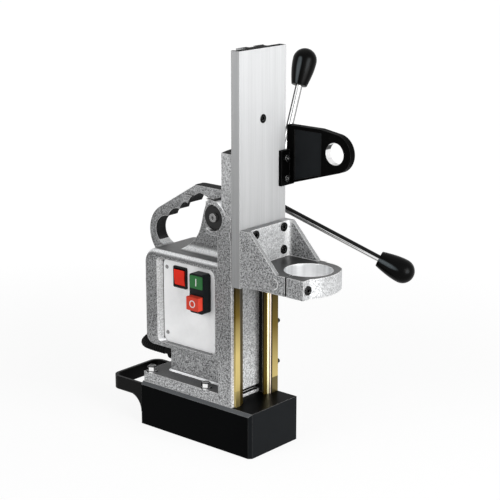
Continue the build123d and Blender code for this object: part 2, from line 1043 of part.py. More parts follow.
def socket_cap(radius, height, shank_radius, shank_length):
    """A socket screw standing on z = 0 with its shank below, drawn along +Z."""
    head = Pos(0, 0, height / 2) * Cylinder(radius, height)
    shank = Pos(0, 0, -shank_length / 2) * Cylinder(shank_radius, shank_length)
    socket = extrude(RegularPolygon(radius * socket_share, 6), height * socket_depth_share)
    return head + shank - Pos(0, 0, height - height * socket_depth_share) * socket


def facing_front(shape, x, y, z):
    """Turns a screw drawn along +Z so that its head looks to -Y."""
    return Pos(x, y, z) * Rot(90, 0, 0) * shape


def rack_screw(height):
    seat = slide_front + slide_cap_head
    reach = rack_slot_front + rack_bed - seat
    screw = socket_cap(cap_head_radius, slide_cap_head, cap_radius, reach)
    return facing_front(screw, 0, seat, height)


# Collar bracket


def collar_screw_places():
    return [
        (side * collar_screw_side, height)
        for side in (-1, 1)
        for height in (collar_screw_high, collar_screw_low)
    ]


def wing_outline():
    """A side wing, drawn as (y, z): flat on top, then slanting to the platform."""
    flat_end = slide_front - collar_wing_flat
    return polygon(
        [
            (slide_front, collar_low),
            (slide_front, collar_top),
            (flat_end, collar_top),
            (collar_wing_foot, collar_high),
            (collar_wing_foot, collar_low),
        ]
    )


def collar_outline():
    """The jaw and the clamping ring in plan: flat by the screw, then round in two arcs."""
    cheek = (collar_cheek, collar_cheek_front)
    flank = (collar_flank, collar_axis)
    return make_face(
        [
            Polyline(
                flank, (collar_flank, collar_shoulder), (-cast_half, collar_shoulder),
                (-cast_half, jaw_front), (jaw_inner, jaw_front),
            ),
            ThreePointArc((jaw_inner, jaw_front), (0, collar_nose), cheek),
            ThreePointArc(cheek, (collar_bend, collar_bend_front), flank),
        ]
    )


def collar_platform():
    """The thick floor with the clamping ring and the flat-fronted jaw."""
    floor = block(
        -cast_half, cast_half, collar_shoulder, slide_front, collar_low, collar_high
    )
    return floor + Pos(0, 0, collar_low) * extrude(collar_outline(), collar_high - collar_low)


def collar_bracket():
    body = collar_platform()
    plate_front = slide_front - collar_plate
    body += block(-cast_half, cast_half, plate_front, slide_front, collar_low, collar_top)
    body += side_slab(wing_outline(), -cast_half, -cast_half + collar_wing)
    body += side_slab(wing_outline(), cast_half - collar_wing, cast_half)
    inner = cast_half - collar_wing
    corners = edges_near(
        body, Axis.Z,
        lambda point: abs(abs(point.X) - inner) < collar_wing / 8
        and abs(point.Y - plate_front) < collar_wing / 8,
    )
    body = fillet(corners, collar_round)
    body -= rod_z(collar_bore, collar_low, collar_high, 0, collar_axis)
    body -= block(
        -cast_half, 0, collar_axis - collar_slit / 2, collar_axis + collar_slit / 2,
        collar_low, collar_high,
    )
    for x, z in collar_screw_places():
        body -= rod_y(cap_radius, plate_front, slide_front, x, z)
        body -= rod_y(cap_head_radius, plate_front, plate_front + cap_sink, x, z)
    clamp_end = jaw_front + clamp_reach
    body -= rod_y(cap_radius, jaw_front, clamp_end, clamp_side, clamp_height)
    body -= rod_y(
        cap_head_radius, jaw_front - cap_sink, jaw_front + cap_sink, clamp_side, clamp_height
    )
    body -= rod_x(
        dimple_radius, -cast_half, -cast_half + dimple_depth, dimple_back, dimple_height
    )
    return body


def collar_screw(x, z):
    seat = slide_front - collar_plate + cap_sink
    reach = slide_back - slide_edge - seat
    screw = socket_cap(cap_head_radius, cap_head, cap_radius, reach)
    return facing_front(screw, x, seat, z)


def clamp_screw():
    seat = jaw_front + cap_sink
    screw = socket_cap(cap_head_radius, cap_head, cap_radius, clamp_reach - cap_sink)
    return facing_front(screw, clamp_side, seat, clamp_height)


# Upper bracket


def arm_outline():
    """The arm, drawn as (y, z): a straight top, a rising underside and a round eye."""
    eye = Circle(arm_eye_radius)
    eye_edge = Pos(arm_eye, arm_eye_height) * eye.edges()[0]
    corner = Polyline(
        (arm_flat_end, arm_high), (slide_front, arm_high), (slide_front, arm_low)
    )
    return make_hull([eye_edge, *corner.edges()])


def lip_screw_heights():
    return [arm_low + lip_screw_inset, lip_high - lip_screw_inset]


def upper_bracket():
    outer = arm_inner + arm_thickness
    body = side_slab(arm_outline(), arm_inner, outer)
    body += block(
        lip_left, outer, slide_front - lip_thickness, slide_front, arm_low, lip_high
    )
    panel = polygon(
        [
            (arm_panel_back, arm_panel_low_back),
            (arm_panel_back, arm_panel_high),
            (arm_panel_front, arm_panel_high),
            (arm_panel_front, arm_panel_low),
        ]
    )
    body -= side_slab(panel, arm_inner, arm_inner + arm_panel_depth)
    body -= rod_x(arm_hole_radius, arm_inner, outer, arm_eye, arm_eye_height)
    for height in lip_screw_heights():
        body -= rod_y(
            lip_screw_radius, slide_front - lip_thickness, slide_front, lip_screw_side, height
        )
    return body


def lip_screw(height):
    screw = socket_cap(
        lip_screw_head_radius, lip_screw_head, lip_screw_radius, lip_screw_reach
    )
    return facing_front(screw, lip_screw_side, slide_front - lip_thickness, height)


# Panel plate, switches and circuit board


def plate_screw_places():
    return [
        (y, z)
        for y in (plate_screw_back, plate_screw_front)
        for z in (plate_screw_low, plate_screw_high)
    ]


def panel_plate():
    plate = rounded_slab(
        recess_front + plate_gap, recess_back - recess_slope - plate_gap,
        recess_low + plate_gap, recess_top - plate_gap, plate_corner,
        plate_face, recess_floor,
    )
    plate -= rocker_block(magnet_body_width, magnet_body_height, plate_face, recess_floor)
    plate -= motor_block(motor_spigot, plate_face, recess_floor)
    for y, z in plate_screw_places():
        plate -= rod_x(plate_screw_radius, plate_face, recess_floor, y, z)
    return plate


def rocker_block(width, height, x_low, x_high):
    """A block centred on the magnet switch."""
    return block(
        x_low, x_high, rocker_centre - width / 2, rocker_centre + width / 2,
        rocker_height - height / 2, rocker_height + height / 2,
    )


def motor_block(inset, x_low, x_high):
    """A block that follows the motor switch's outline, drawn in by inset."""
    return block(
        x_low, x_high, motor_front + inset, motor_back - inset,
        motor_low + inset, motor_high - inset,
    )


def plate_screw(y, z):
    head = rod_x(plate_screw_head_radius, plate_face - plate_screw_head, plate_face, y, z)
    shank = rod_x(plate_screw_radius, plate_face, plate_face + plate_screw_length, y, z)
    return head + shank


def magnet_switch():
    """The switch body behind the panel with its bezel and a well for the rocker."""
    low = rocker_centre - bezel_width / 2
    base = rocker_height - bezel_height / 2
    body = rounded_slab(
        low, low + bezel_width, base, base + bezel_height, bezel_corner,
        plate_face - bezel_thickness, plate_face,
    )
    body += rocker_block(
        magnet_body_width, magnet_body_height, plate_face, plate_face + magnet_body_depth
    )
    body -= rocker_block(
        rocker_width + 2 * button_gap, rocker_length + 2 * rocker_end_gap,
        plate_face - bezel_thickness, plate_face + rocker_well_depth,
    )
    pivot = plate_face + rocker_pivot_depth
    body -= rod_y(
        rocker_pin_radius + running_fit, rocker_centre - magnet_body_width / 2,
        rocker_centre + magnet_body_width / 2, pivot, rocker_height,
    )
    return body


def magnet_rocker():
    """The rocker on its pin: the upper half stands level, the lower half slopes in."""
    half = rocker_length / 2
    face = plate_face - bezel_thickness - rocker_rise / 2
    slope = half * tan(radians(rocker_swing))
    heel = plate_face + rocker_depth
    profile = polygon(
        [
            (face, rocker_height + half),
            (face, rocker_height),
            (face + slope, rocker_height - half),
            (heel, rocker_height - half / 2),
            (heel, rocker_height + half / 2),
        ]
    )
    width = rocker_width
    plane = Plane(
        origin=(0, rocker_centre + width / 2, 0), x_dir=(1, 0, 0), z_dir=(0, -1, 0)
    )
    cap = extrude(plane * profile, width)
    pin = rod_y(
        rocker_pin_radius, rocker_centre - magnet_body_width / 2,
        rocker_centre + magnet_body_width / 2,
        plate_face + rocker_pivot_depth, rocker_height,
    )
    return cap + pin


def motor_switch():
    """The raised motor switch with a well and a stem hole for each button."""
    front = plate_face - motor_rise
    body = rounded_slab(
        motor_front, motor_back, motor_low, motor_high, motor_corner, front, plate_face
    )
    body += motor_block(motor_spigot, plate_face, plate_face + motor_body_depth)
    for z_low, z_high in button_bands():
        body -= button_block(button_gap, z_low, z_high, front, front + button_well)
        stem = button_stem_radius + spigot_fit
        middle = (motor_front + motor_back) / 2
        depth = front + button_well + button_stem
        body -= rod_x(stem, front + button_well, depth, middle, (z_low + z_high) / 2)
    return body


def button_bands():
    """The lower and upper edge of the start and the stop button."""
    return [(button_face_low, button_face_high), (stop_low, stop_high)]


def button_block(grow, z_low, z_high, x_low, x_high):
    """A button's outline, grown on each side."""
    inset = motor_wall + button_gap - grow
    return block(
        x_low, x_high, motor_front + inset, motor_back - inset, z_low - grow, z_high + grow
    )


def push_button(z_low, z_high, rise):
    """A push button whose face stands out by rise, with its guiding stem."""
    front = plate_face - motor_rise
    cap = button_block(0, z_low, z_high, front - rise, front + button_thickness)
    upright = cap.edges().filter_by(Axis.X)
    cap = fillet(upright, button_corner)
    middle = (motor_front + motor_back) / 2
    stem = rod_x(
        button_stem_radius, front + button_thickness,
        front + button_well + button_stem / 2, middle, (z_low + z_high) / 2,
    )
    return cap + stem


def circuit_board():
    """The board on its bosses with a row of tall parts."""
    back = board_face()
    face = back - board_thickness
    board = block(
        face, back, cavity_front + board_margin, cavity_back - board_margin,
        cavity_low + board_margin, cavity_top - board_margin,
    )
    first = cavity_low + board_boss_inset + board_part_gap * 2
    for index in range(board_part_count):
        low = first + index * (board_part_width + board_part_gap)
        board += block(
            face - board_part_height, face,
            cavity_front + board_part_gap * 3, cavity_front + board_part_gap * 3 + board_part_width,
            low, low + board_part_width,
        )
    return board


# Strap bow


def bow_outline(inset):
    """The bow in plan, drawn in by inset, as a closed face that reaches the magnet."""
    half = bow_half - inset
    back = bow_back - inset
    corner = bow_corner - inset
    front = foot_length / 2
    return make_face(
        [
            Polyline((-half, back - corner), (-half, front), (half, front), (half, back - corner)),
            RadiusArc((half, back - corner), (half - corner, back), -corner),
            Line((half - corner, back), (-half + corner, back)),
            RadiusArc((-half + corner, back), (-half, back - corner), -corner),
        ]
    )


def strap_bow():
    strip = bow_outline(0) - bow_outline(bow_thickness)
    bow = Pos(0, 0, bow_low) * extrude(strip, bow_high - bow_low)
    front = foot_length / 2
    flare = make_face(
        [
            Polyline((front + bow_flare, bow_low), (front, bow_low), (front, bow_tab_low),
                     (front + bow_thickness, bow_tab_low)),
            ThreePointArc(
                (front + bow_thickness, bow_tab_low),
                (front + bow_flare * 2 / 5, bow_low - bow_flare * 2 / 5),
                (front + bow_flare, bow_low),
            ),
        ]
    )
    for side in (-1, 1):
        outer = side * bow_half
        inner = side * (bow_half - bow_thickness)
        bow += side_slab(flare, min(outer, inner), max(outer, inner))
        tab = side * (bow_half - bow_tab)
        bow += block(
            min(inner, tab), max(inner, tab), front, front + bow_thickness,
            bow_tab_low, bow_high,
        )
        bow -= rod_y(
            bow_screw_radius, front, front + bow_thickness, bow_screw_side(side),
            bow_screw_height,
        )
    return bow


def bow_screw_side(side):
    return side * (bow_half - bow_thickness - bow_screw_inset)


def bow_screw(side):
    seat = foot_length / 2 + bow_thickness
    x = bow_screw_side(side)
    head = rod_y(bow_screw_head_radius, seat, seat + bow_screw_head, x, bow_screw_height)
    shank = rod_y(
        bow_screw_radius, foot_length / 2 - bow_screw_bite, seat, x, bow_screw_height
    )
    return head + shank


# Ribbed magnet lead and the glands


def lead_turn(angle):
    """The lead's middle line on its turn: it swings round first and climbs last."""
    share = (1 - cos(angle)) / 2
    return Vector(
        lead_start_side + (lead_end_side - lead_start_side) * share,
        lead_turn_back + lead_reach * sin(angle),
        lead_start_height + (lead_end_height - lead_start_height) * share ** 3,
    )


def lead_turn_points():
    """Even steps along the turn, from the neck's side to the box's side."""
    return [lead_turn(pi * step / lead_steps) for step in range(lead_steps + 1)]


def lead_turn_length():
    points = lead_turn_points()
    return sum((last - first).length for first, last in zip(points, points[1:]))


def lead_place(distance):
    """A place on the lead's middle line and its heading: out of the neck, round and back."""
    start = Vector(lead_start_side, neck_back + gland_length, lead_start_height)
    left = distance - (lead_turn_back - neck_back - gland_length)
    if left <= 0:
        return start + Vector(0, 1, 0) * distance, Vector(0, 1, 0)
    points = lead_turn_points()
    for first, last in zip(points, points[1:]):
        step = (last - first).length
        if left <= step:
            return first + (last - first) * (left / step), (last - first).normalized()
        left -= step
    return points[-1] - Vector(0, 1, 0) * left, Vector(0, -1, 0)


def lead_length():
    """The lead's length between its two glands."""
    out = lead_turn_back - neck_back - gland_length
    home = lead_turn_back - box_back - gland_length
    return out + lead_turn_length() + home


def lead_circle(distance, radius):
    """A circle square to the lead, turned about a steady axis."""
    place, heading = lead_place(distance)
    span = hypot(lead_end_side - lead_start_side, lead_end_height - lead_start_height)
    steady = Vector(
        -(lead_end_height - lead_start_height) / span, 0,
        (lead_end_side - lead_start_side) / span,
    )
    return Plane(origin=place, x_dir=steady, z_dir=heading) * Circle(radius)


def magnet_lead():
    """The ribbed lead: smooth ends, and ribs of four circles each between them."""
    total = lead_length()
    plain = 2 * lead_radius
    count = int((total - 2 * plain) / rib_pitch)
    first = (total - count * rib_pitch) / 2
    groove = lead_radius - lead_groove
    rings = [(0, groove)]
    for rib in range(count):
        low = first + rib * rib_pitch
        slope = rib_pitch * rib_slope_share
        land = rib_pitch * rib_land_share
        rings += [(low, groove), (low + slope, lead_radius)]
        rings += [(low + slope + land, lead_radius), (low + 2 * slope + land, groove)]
    rings.append((total, groove))
    skin = loft([lead_circle(place, radius) for place, radius in rings], ruled=True)
    steps = 2 * count
    bore = loft(
        [lead_circle(total * step / steps, lead_bore) for step in range(steps + 1)], ruled=True
    )
    return skin - bore


def lead_gland(x, face, z):
    """A gland with a spigot in the casting, grown backward from a face."""
    body = rod_y(gland_radius, face, face + gland_length, x, z)
    body += rod_y(gland_spigot_radius, face - gland_spigot, face, x, z)
    return body - rod_y(lead_bore, face - gland_spigot, face + gland_length, x, z)


def mains_gland():
    """The gland where the mains lead goes in, with its tapering sleeve."""
    nut = rod_y(mains_radius, box_back, box_back + mains_length / 3, mains_side, mains_height)
    taper = Pos(mains_side, box_back + mains_length * 2 / 3, mains_height) * Rot(-90, 0, 0) * Cone(
        mains_bore * 2, mains_bore * 3 / 2, mains_length * 2 / 3
    )
    spigot = rod_y(mains_bore * 2, cavity_back, box_back, mains_side, mains_height)
    bore = rod_y(mains_bore, cavity_back, box_back + mains_length, mains_side, mains_height)
    return nut + taper + spigot - bore


def drill_outlet():
    """The socket outlet that the drill plugs into."""
    rim = rod_y(outlet_radius, box_back, box_back + outlet_rim, outlet_side, outlet_height)
    rim += rod_y(outlet_body, cavity_back, box_back, outlet_side, outlet_height)
    floor = box_back + outlet_rim - outlet_well
    rim -= rod_y(
        outlet_well_radius, floor, box_back + outlet_rim, outlet_side, outlet_height
    )
    for side in (-1, 1):
        rim -= rod_y(
            outlet_pin_radius, floor - outlet_well, floor,
            outlet_side + side * outlet_pin_spread, outlet_height,
        )
    return rim


# Every piece by name

parts = {
    "magnet_case": magnet_case(),
    "magnet_coil": magnet_coil(),
    "magnet_potting": magnet_potting(),
    "stand_casting": stand_casting(),
    "brass_way_left": brass_way(-1),
    "brass_way_right": brass_way(1),
    "panel_plate": panel_plate(),
    "magnet_switch": magnet_switch(),
    "magnet_rocker": magnet_rocker(),
    "motor_switch": motor_switch(),
    "start_button": push_button(button_face_low, button_face_high, start_rise),
    "stop_button": push_button(stop_low, stop_high, stop_rise),
    "circuit_board": circuit_board(),
    "strap_bow": strap_bow(),
    "bow_screw_left": bow_screw(-1),
    "bow_screw_right": bow_screw(1),
    "magnet_lead": magnet_lead(),
    "lead_gland_neck": lead_gland(lead_start_side, neck_back, lead_start_height),
    "lead_gland_box": lead_gland(lead_end_side, box_back, lead_end_height),
    "mains_gland": mains_gland(),
    "drill_outlet": drill_outlet(),
    "bush_near": shaft_bush(-tube_near_end),
    "bush_far": shaft_bush(tube_far_end - bush_length),
    "feed_shaft": feed_shaft(),
    "pinion": pinion(),
    "feed_hub": feed_hub(),
    "end_washer": end_washer(),
    "end_screw": end_screw(),
    "slide_plate": slide_plate(),
    "feed_rack": feed_rack(),
    "rack_screw_upper": rack_screw(slide_screw_height),
    "rack_screw_lower": rack_screw(slide_screw_low),
    "collar_bracket": collar_bracket(),
    "clamp_screw": clamp_screw(),
    "upper_bracket": upper_bracket(),
}
for index, height in enumerate(way_screw_heights(), start=1):
    parts[f"way_screw_{index}"] = way_screw(height)
for index, height in enumerate(lip_screw_heights(), start=1):
    parts[f"lip_screw_{index}"] = lip_screw(height)
for index, (x, z) in enumerate(collar_screw_places(), start=1):
    parts[f"collar_screw_{index}"] = collar_screw(x, z)
for index, (y, z) in enumerate(plate_screw_places(), start=1):
    parts[f"plate_screw_{index}"] = plate_screw(y, z)
for side, name in ((-1, "left"), (1, "right")):
    parts[f"flange_bolt_{name}_back"] = flange_bolt(side, flange_bolt_back)
    parts[f"flange_bolt_{name}_front"] = flange_bolt(side, flange_bolt_front)
for index in range(lever_count):
    parts[f"lever_rod_{index + 1}"] = lever_rod(index)
    parts[f"lever_knob_{index + 1}"] = lever_knob(index)

os.makedirs("parts", exist_ok=True)
for name, shape in parts.items():
    export_step(shape, f"parts/{name}.step")
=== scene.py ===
"""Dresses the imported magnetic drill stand: finishes, switch marks, screw heads and a plain studio."""

import logging
import math
from dataclasses import dataclass
from enum import Enum
from typing import Sequence, Union

import bmesh
import bpy
from mathutils import Matrix, Vector


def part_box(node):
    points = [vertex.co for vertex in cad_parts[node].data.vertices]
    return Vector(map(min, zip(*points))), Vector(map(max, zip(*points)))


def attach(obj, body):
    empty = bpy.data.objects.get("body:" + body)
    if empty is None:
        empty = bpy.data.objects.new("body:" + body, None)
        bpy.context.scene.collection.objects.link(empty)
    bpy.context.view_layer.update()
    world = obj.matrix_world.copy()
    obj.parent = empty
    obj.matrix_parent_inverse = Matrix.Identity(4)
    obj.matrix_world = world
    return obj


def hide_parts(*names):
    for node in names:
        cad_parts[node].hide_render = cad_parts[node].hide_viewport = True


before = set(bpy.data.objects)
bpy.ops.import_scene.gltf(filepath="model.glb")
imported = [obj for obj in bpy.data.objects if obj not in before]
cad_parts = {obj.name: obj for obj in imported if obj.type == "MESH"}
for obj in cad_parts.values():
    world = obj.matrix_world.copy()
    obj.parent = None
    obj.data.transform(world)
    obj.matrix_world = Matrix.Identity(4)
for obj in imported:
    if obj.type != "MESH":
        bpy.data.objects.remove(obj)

log = logging.getLogger("drill_stand")
Number = Union[float, "Value"]
MM = 0.001
SHARP_ANGLE = math.radians(32.0)
WHITE = (1.0, 1.0, 1.0, 1.0)


class Value:
    """A shader socket that Python's operators work on, one Math node for each step."""

    def __init__(self, sheet: "Sheet", socket: bpy.types.NodeSocket) -> None:
        """Keeps the socket.

        Args:
            sheet: The node tree the socket belongs to.
            socket: An output socket that carries one number.
        """
        self.sheet = sheet
        self.socket = socket

    def step(self, operation: str, *others: Number, first: bool = True) -> "Value":
        """Adds one Math node.

        Args:
            operation: The Math node's operation.
            others: The other numbers or values.
            first: False puts this value after the others.

        Returns:
            The node's answer.
        """
        inputs = [self, *others] if first else [*others, self]
        node = self.sheet.node("ShaderNodeMath", {"operation": operation}, inputs)
        return Value(self.sheet, node.outputs[0])

    def __add__(self, other: Number) -> "Value":
        """Adds."""
        return self.step("ADD", other)

    def __radd__(self, other: Number) -> "Value":
        """Adds from the right."""
        return self.step("ADD", other)

    def __sub__(self, other: Number) -> "Value":
        """Takes away."""
        return self.step("SUBTRACT", other)

    def __rsub__(self, other: Number) -> "Value":
        """Takes this from a number."""
        return self.step("SUBTRACT", other, first=False)

    def __mul__(self, other: Number) -> "Value":
        """Multiplies."""
        return self.step("MULTIPLY", other)

    def __rmul__(self, other: Number) -> "Value":
        """Multiplies from the right."""
        return self.step("MULTIPLY", other)

    def __pow__(self, other: Number) -> "Value":
        """Raises to a power."""
        return self.step("POWER", other)

    def __abs__(self) -> "Value":
        """The size without its sign."""
        return self.step("ABSOLUTE")

    def above(self, limit: Number) -> "Value":
        """One where the value is over the limit."""
        return self.step("GREATER_THAN", limit)

    def below(self, limit: Number) -> "Value":
        """One where the value is under the limit."""
        return self.step("LESS_THAN", limit)

    def within(self, low: Number, high: Number) -> "Value":
        """One where the value is between two limits."""
        return self.above(low) * self.below(high)

    def most(self, other: Number) -> "Value":
        """The larger of two."""
        return self.step("MAXIMUM", other)

    def least(self, other: Number) -> "Value":
        """The smaller of two."""
        return self.step("MINIMUM", other)

    def ramp(self, low: float, high: float) -> "Value":
        """A smooth step from 0 at low to 1 at high.

        Args:
            low: Where the step begins.
            high: Where it is done.

        Returns:
            The stepped value.
        """
        settings = {"interpolation_type": "SMOOTHSTEP"}
        node = self.sheet.node("ShaderNodeMapRange", settings, [self, low, high, 0.0, 1.0])
        return Value(self.sheet, node.outputs[0])

    def hump(self, rise: Sequence[float], fall: Sequence[float]) -> "Value":
        """A smooth rise to 1 and a smooth fall back to 0.

        Args:
            rise: Where the value is still 0, and where it has reached 1.
            fall: Where the value is 0 again, and where it is last at 1.

        Returns:
            The stepped value.
        """
        return self.ramp(*rise) * self.ramp(*fall)


def distance(first: Value, second: Value) -> Value:
    """The length of the line from the middle to a place in a plane."""
    return (first ** 2 + second ** 2) ** 0.5


class Sheet:
    """One material's node tree with its Principled shader."""

    edge_turn = (0.01, 0.16)
    edge_samples = 4
    mix_share, mix_first, mix_second, mixed = 0, 6, 7, 2

    def __init__(self, name: str) -> None:
        """Makes an empty material.

        Args:
            name: The material's name.
        """
        self.material = bpy.data.materials.new(name)
        self.material.use_nodes = True
        self.tree = self.material.node_tree
        self.shader = self.tree.nodes["Principled BSDF"]
        self.place = self.node("ShaderNodeTexCoord", {}, []).outputs["Object"]
        split = self.node("ShaderNodeSeparateXYZ", {}, [self.place])
        self.x, self.y, self.z = (Value(self, socket) for socket in split.outputs)

    def node(self, kind: str, settings: dict, inputs: Sequence | dict) -> bpy.types.Node:
        """Adds a node of any kind.

        Args:
            kind: The node's type.
            settings: Properties that are set before the sockets.
            inputs: Values or links, in order or by socket name; None leaves a socket alone.

        Returns:
            The new node.
        """
        node = self.tree.nodes.new(kind)
        for key, value in settings.items():
            setattr(node, key, value)
        pairs = inputs.items() if isinstance(inputs, dict) else enumerate(inputs)
        for key, value in pairs:
            if value is not None:
                self.feed(node.inputs[key], value)
        return node

    def feed(self, socket: bpy.types.NodeSocket, value: object) -> None:
        """Links a value to a socket, or sets the socket's own number or colour.

        Args:
            socket: The input socket.
            value: A value, an output socket, a number or a colour.
        """
        source = value.socket if isinstance(value, Value) else value
        if isinstance(source, bpy.types.NodeSocket):
            self.tree.links.new(source, socket)
        else:
            socket.default_value = source

    def set(self, **sockets: object) -> None:
        """Sets the shader's sockets; an underscore in a name stands for a space."""
        for name, value in sockets.items():
            self.feed(self.shader.inputs[name.replace("_", " ")], value)

    def stretched(self, x: float, y: float, z: float) -> bpy.types.NodeSocket:
        """The surface place with each axis scaled."""
        settings = {"operation": "MULTIPLY"}
        return self.node("ShaderNodeVectorMath", settings, [self.place, (x, y, z)]).outputs[0]

    def noise(self, scale: float, detail: float = 2.0, rough: float = 0.5, at: object = None) -> Value:
        """Smooth noise from 0 to 1.

        Args:
            scale: Waves per metre.
            detail: Finer layers added on top.
            rough: How strong the finer layers are.
            at: Where to read it; the surface place by default.

        Returns:
            The noise.
        """
        inputs = {"Vector": at or self.place, "Scale": scale, "Detail": detail, "Roughness": rough}
        return Value(self, self.node("ShaderNodeTexNoise", {}, inputs).outputs[0])

    def streaks(self, waves: Sequence[float], detail: float, rough: float) -> Value:
        """Noise that is drawn out along an axis.

        Args:
            waves: Waves per metre along each axis.
            detail: Finer layers added on top.
            rough: How strong the finer layers are.

        Returns:
            The noise.
        """
        return self.noise(1.0, detail, rough, self.stretched(*waves))

    def cells(self, scale: float, smooth: float) -> Value:
        """Distance to the nearest of many scattered points.

        Args:
            scale: Points per metre.
            smooth: How far neighbouring cells run together.

        Returns:
            The distance, in cells.
        """
        inputs = {"Vector": self.place, "Scale": scale, "Smoothness": smooth}
        return Value(self, self.node("ShaderNodeTexVoronoi", {"feature": "SMOOTH_F1"}, inputs).outputs[0])

    def mix(self, share: Number, first: object, second: object) -> bpy.types.NodeSocket:
        """Blends two colours.

        Args:
            share: 0 gives the first colour, and 1 the second.
            first: A colour or a colour socket.
            second: A colour or a colour socket.

        Returns:
            The blended colour.
        """
        inputs = {self.mix_share: share, self.mix_first: first, self.mix_second: second}
        return self.node("ShaderNodeMix", {"data_type": "RGBA"}, inputs).outputs[self.mixed]

    def shade(self, color: object, factor: Number) -> bpy.types.NodeSocket:
        """Multiplies a colour by a number.

        Args:
            color: A colour or a colour socket.
            factor: The number.

        Returns:
            The lighter or darker colour.
        """
        settings = {"data_type": "RGBA", "blend_type": "MULTIPLY"}
        level = self.node("ShaderNodeCombineColor", {}, [factor, factor, factor]).outputs[0]
        inputs = {self.mix_share: 1.0, self.mix_first: color, self.mix_second: level}
        return self.node("ShaderNodeMix", settings, inputs).outputs[self.mixed]

    def rounded(self, radius: float) -> bpy.types.NodeSocket:
        """A normal that rounds every edge a little."""
        return self.node("ShaderNodeBevel", {"samples": self.edge_samples}, [radius]).outputs[0]

    def bump(self, height: Value, depth: float, edge: float = 0.0) -> bpy.types.NodeSocket:
        """A normal that follows a height, over edges that are rounded a little.

        Args:
            height: The height, from 0 to 1.
            depth: The depth of that whole range, in metres.
            edge: How far an edge is rounded, in metres; 0 leaves it sharp.

        Returns:
            The normal.
        """
        normal = self.rounded(edge) if edge else None
        inputs = {"Strength": 1.0, "Distance": depth, "Height": height, "Normal": normal}
        return self.node("ShaderNodeBump", {}, inputs).outputs[0]

    def facing(self, axis: str, flat: bool = False) -> Value:
        """How far the surface looks along an axis.

        Args:
            axis: X, Y or Z.
            flat: Reads the mesh face itself, and not its smoothed normal.

        Returns:
            The share, from -1 to 1.
        """
        geometry = self.node("ShaderNodeNewGeometry", {}, [])
        normal = geometry.outputs["True Normal" if flat else "Normal"]
        split = self.node("ShaderNodeSeparateXYZ", {}, [normal])
        return Value(self, split.outputs["XYZ".index(axis)])

    def edges(self, radius: float) -> Value:
        """One along the piece's sharp edges and zero on its faces.

        Args:
            radius: How far the band reaches from an edge.

        Returns:
            The mask.
        """
        normal = self.node("ShaderNodeNewGeometry", {}, []).outputs["Normal"]
        settings = {"operation": "DOT_PRODUCT"}
        turned = self.node("ShaderNodeVectorMath", settings, [self.rounded(radius), normal])
        return (1.0 - Value(self, turned.outputs["Value"])).ramp(*self.edge_turn)


def grey(level: float, tint: float = 0.0) -> tuple[float, float, float, float]:
    """A grey colour, a little bluer for a tint over zero."""
    return (level * (1 - tint), level, level * (1 + tint), 1.0)


@dataclass(frozen=True)
class Finish:
    """A surface finish that becomes one material."""

    name: str

    def material(self) -> bpy.types.Material:
        """The finish's material, made the first time it is asked for.

        Returns:
            The material.
        """
        title = f"finish_{self.name}"
        made = bpy.data.materials.get(title)
        if made:
            return made
        sheet = Sheet(title)
        self.paint(sheet)
        return sheet.material

    def paint(self, sheet: Sheet) -> None:
        """Sets the material's nodes.

        Args:
            sheet: The material's sheet.
        """
        raise NotImplementedError


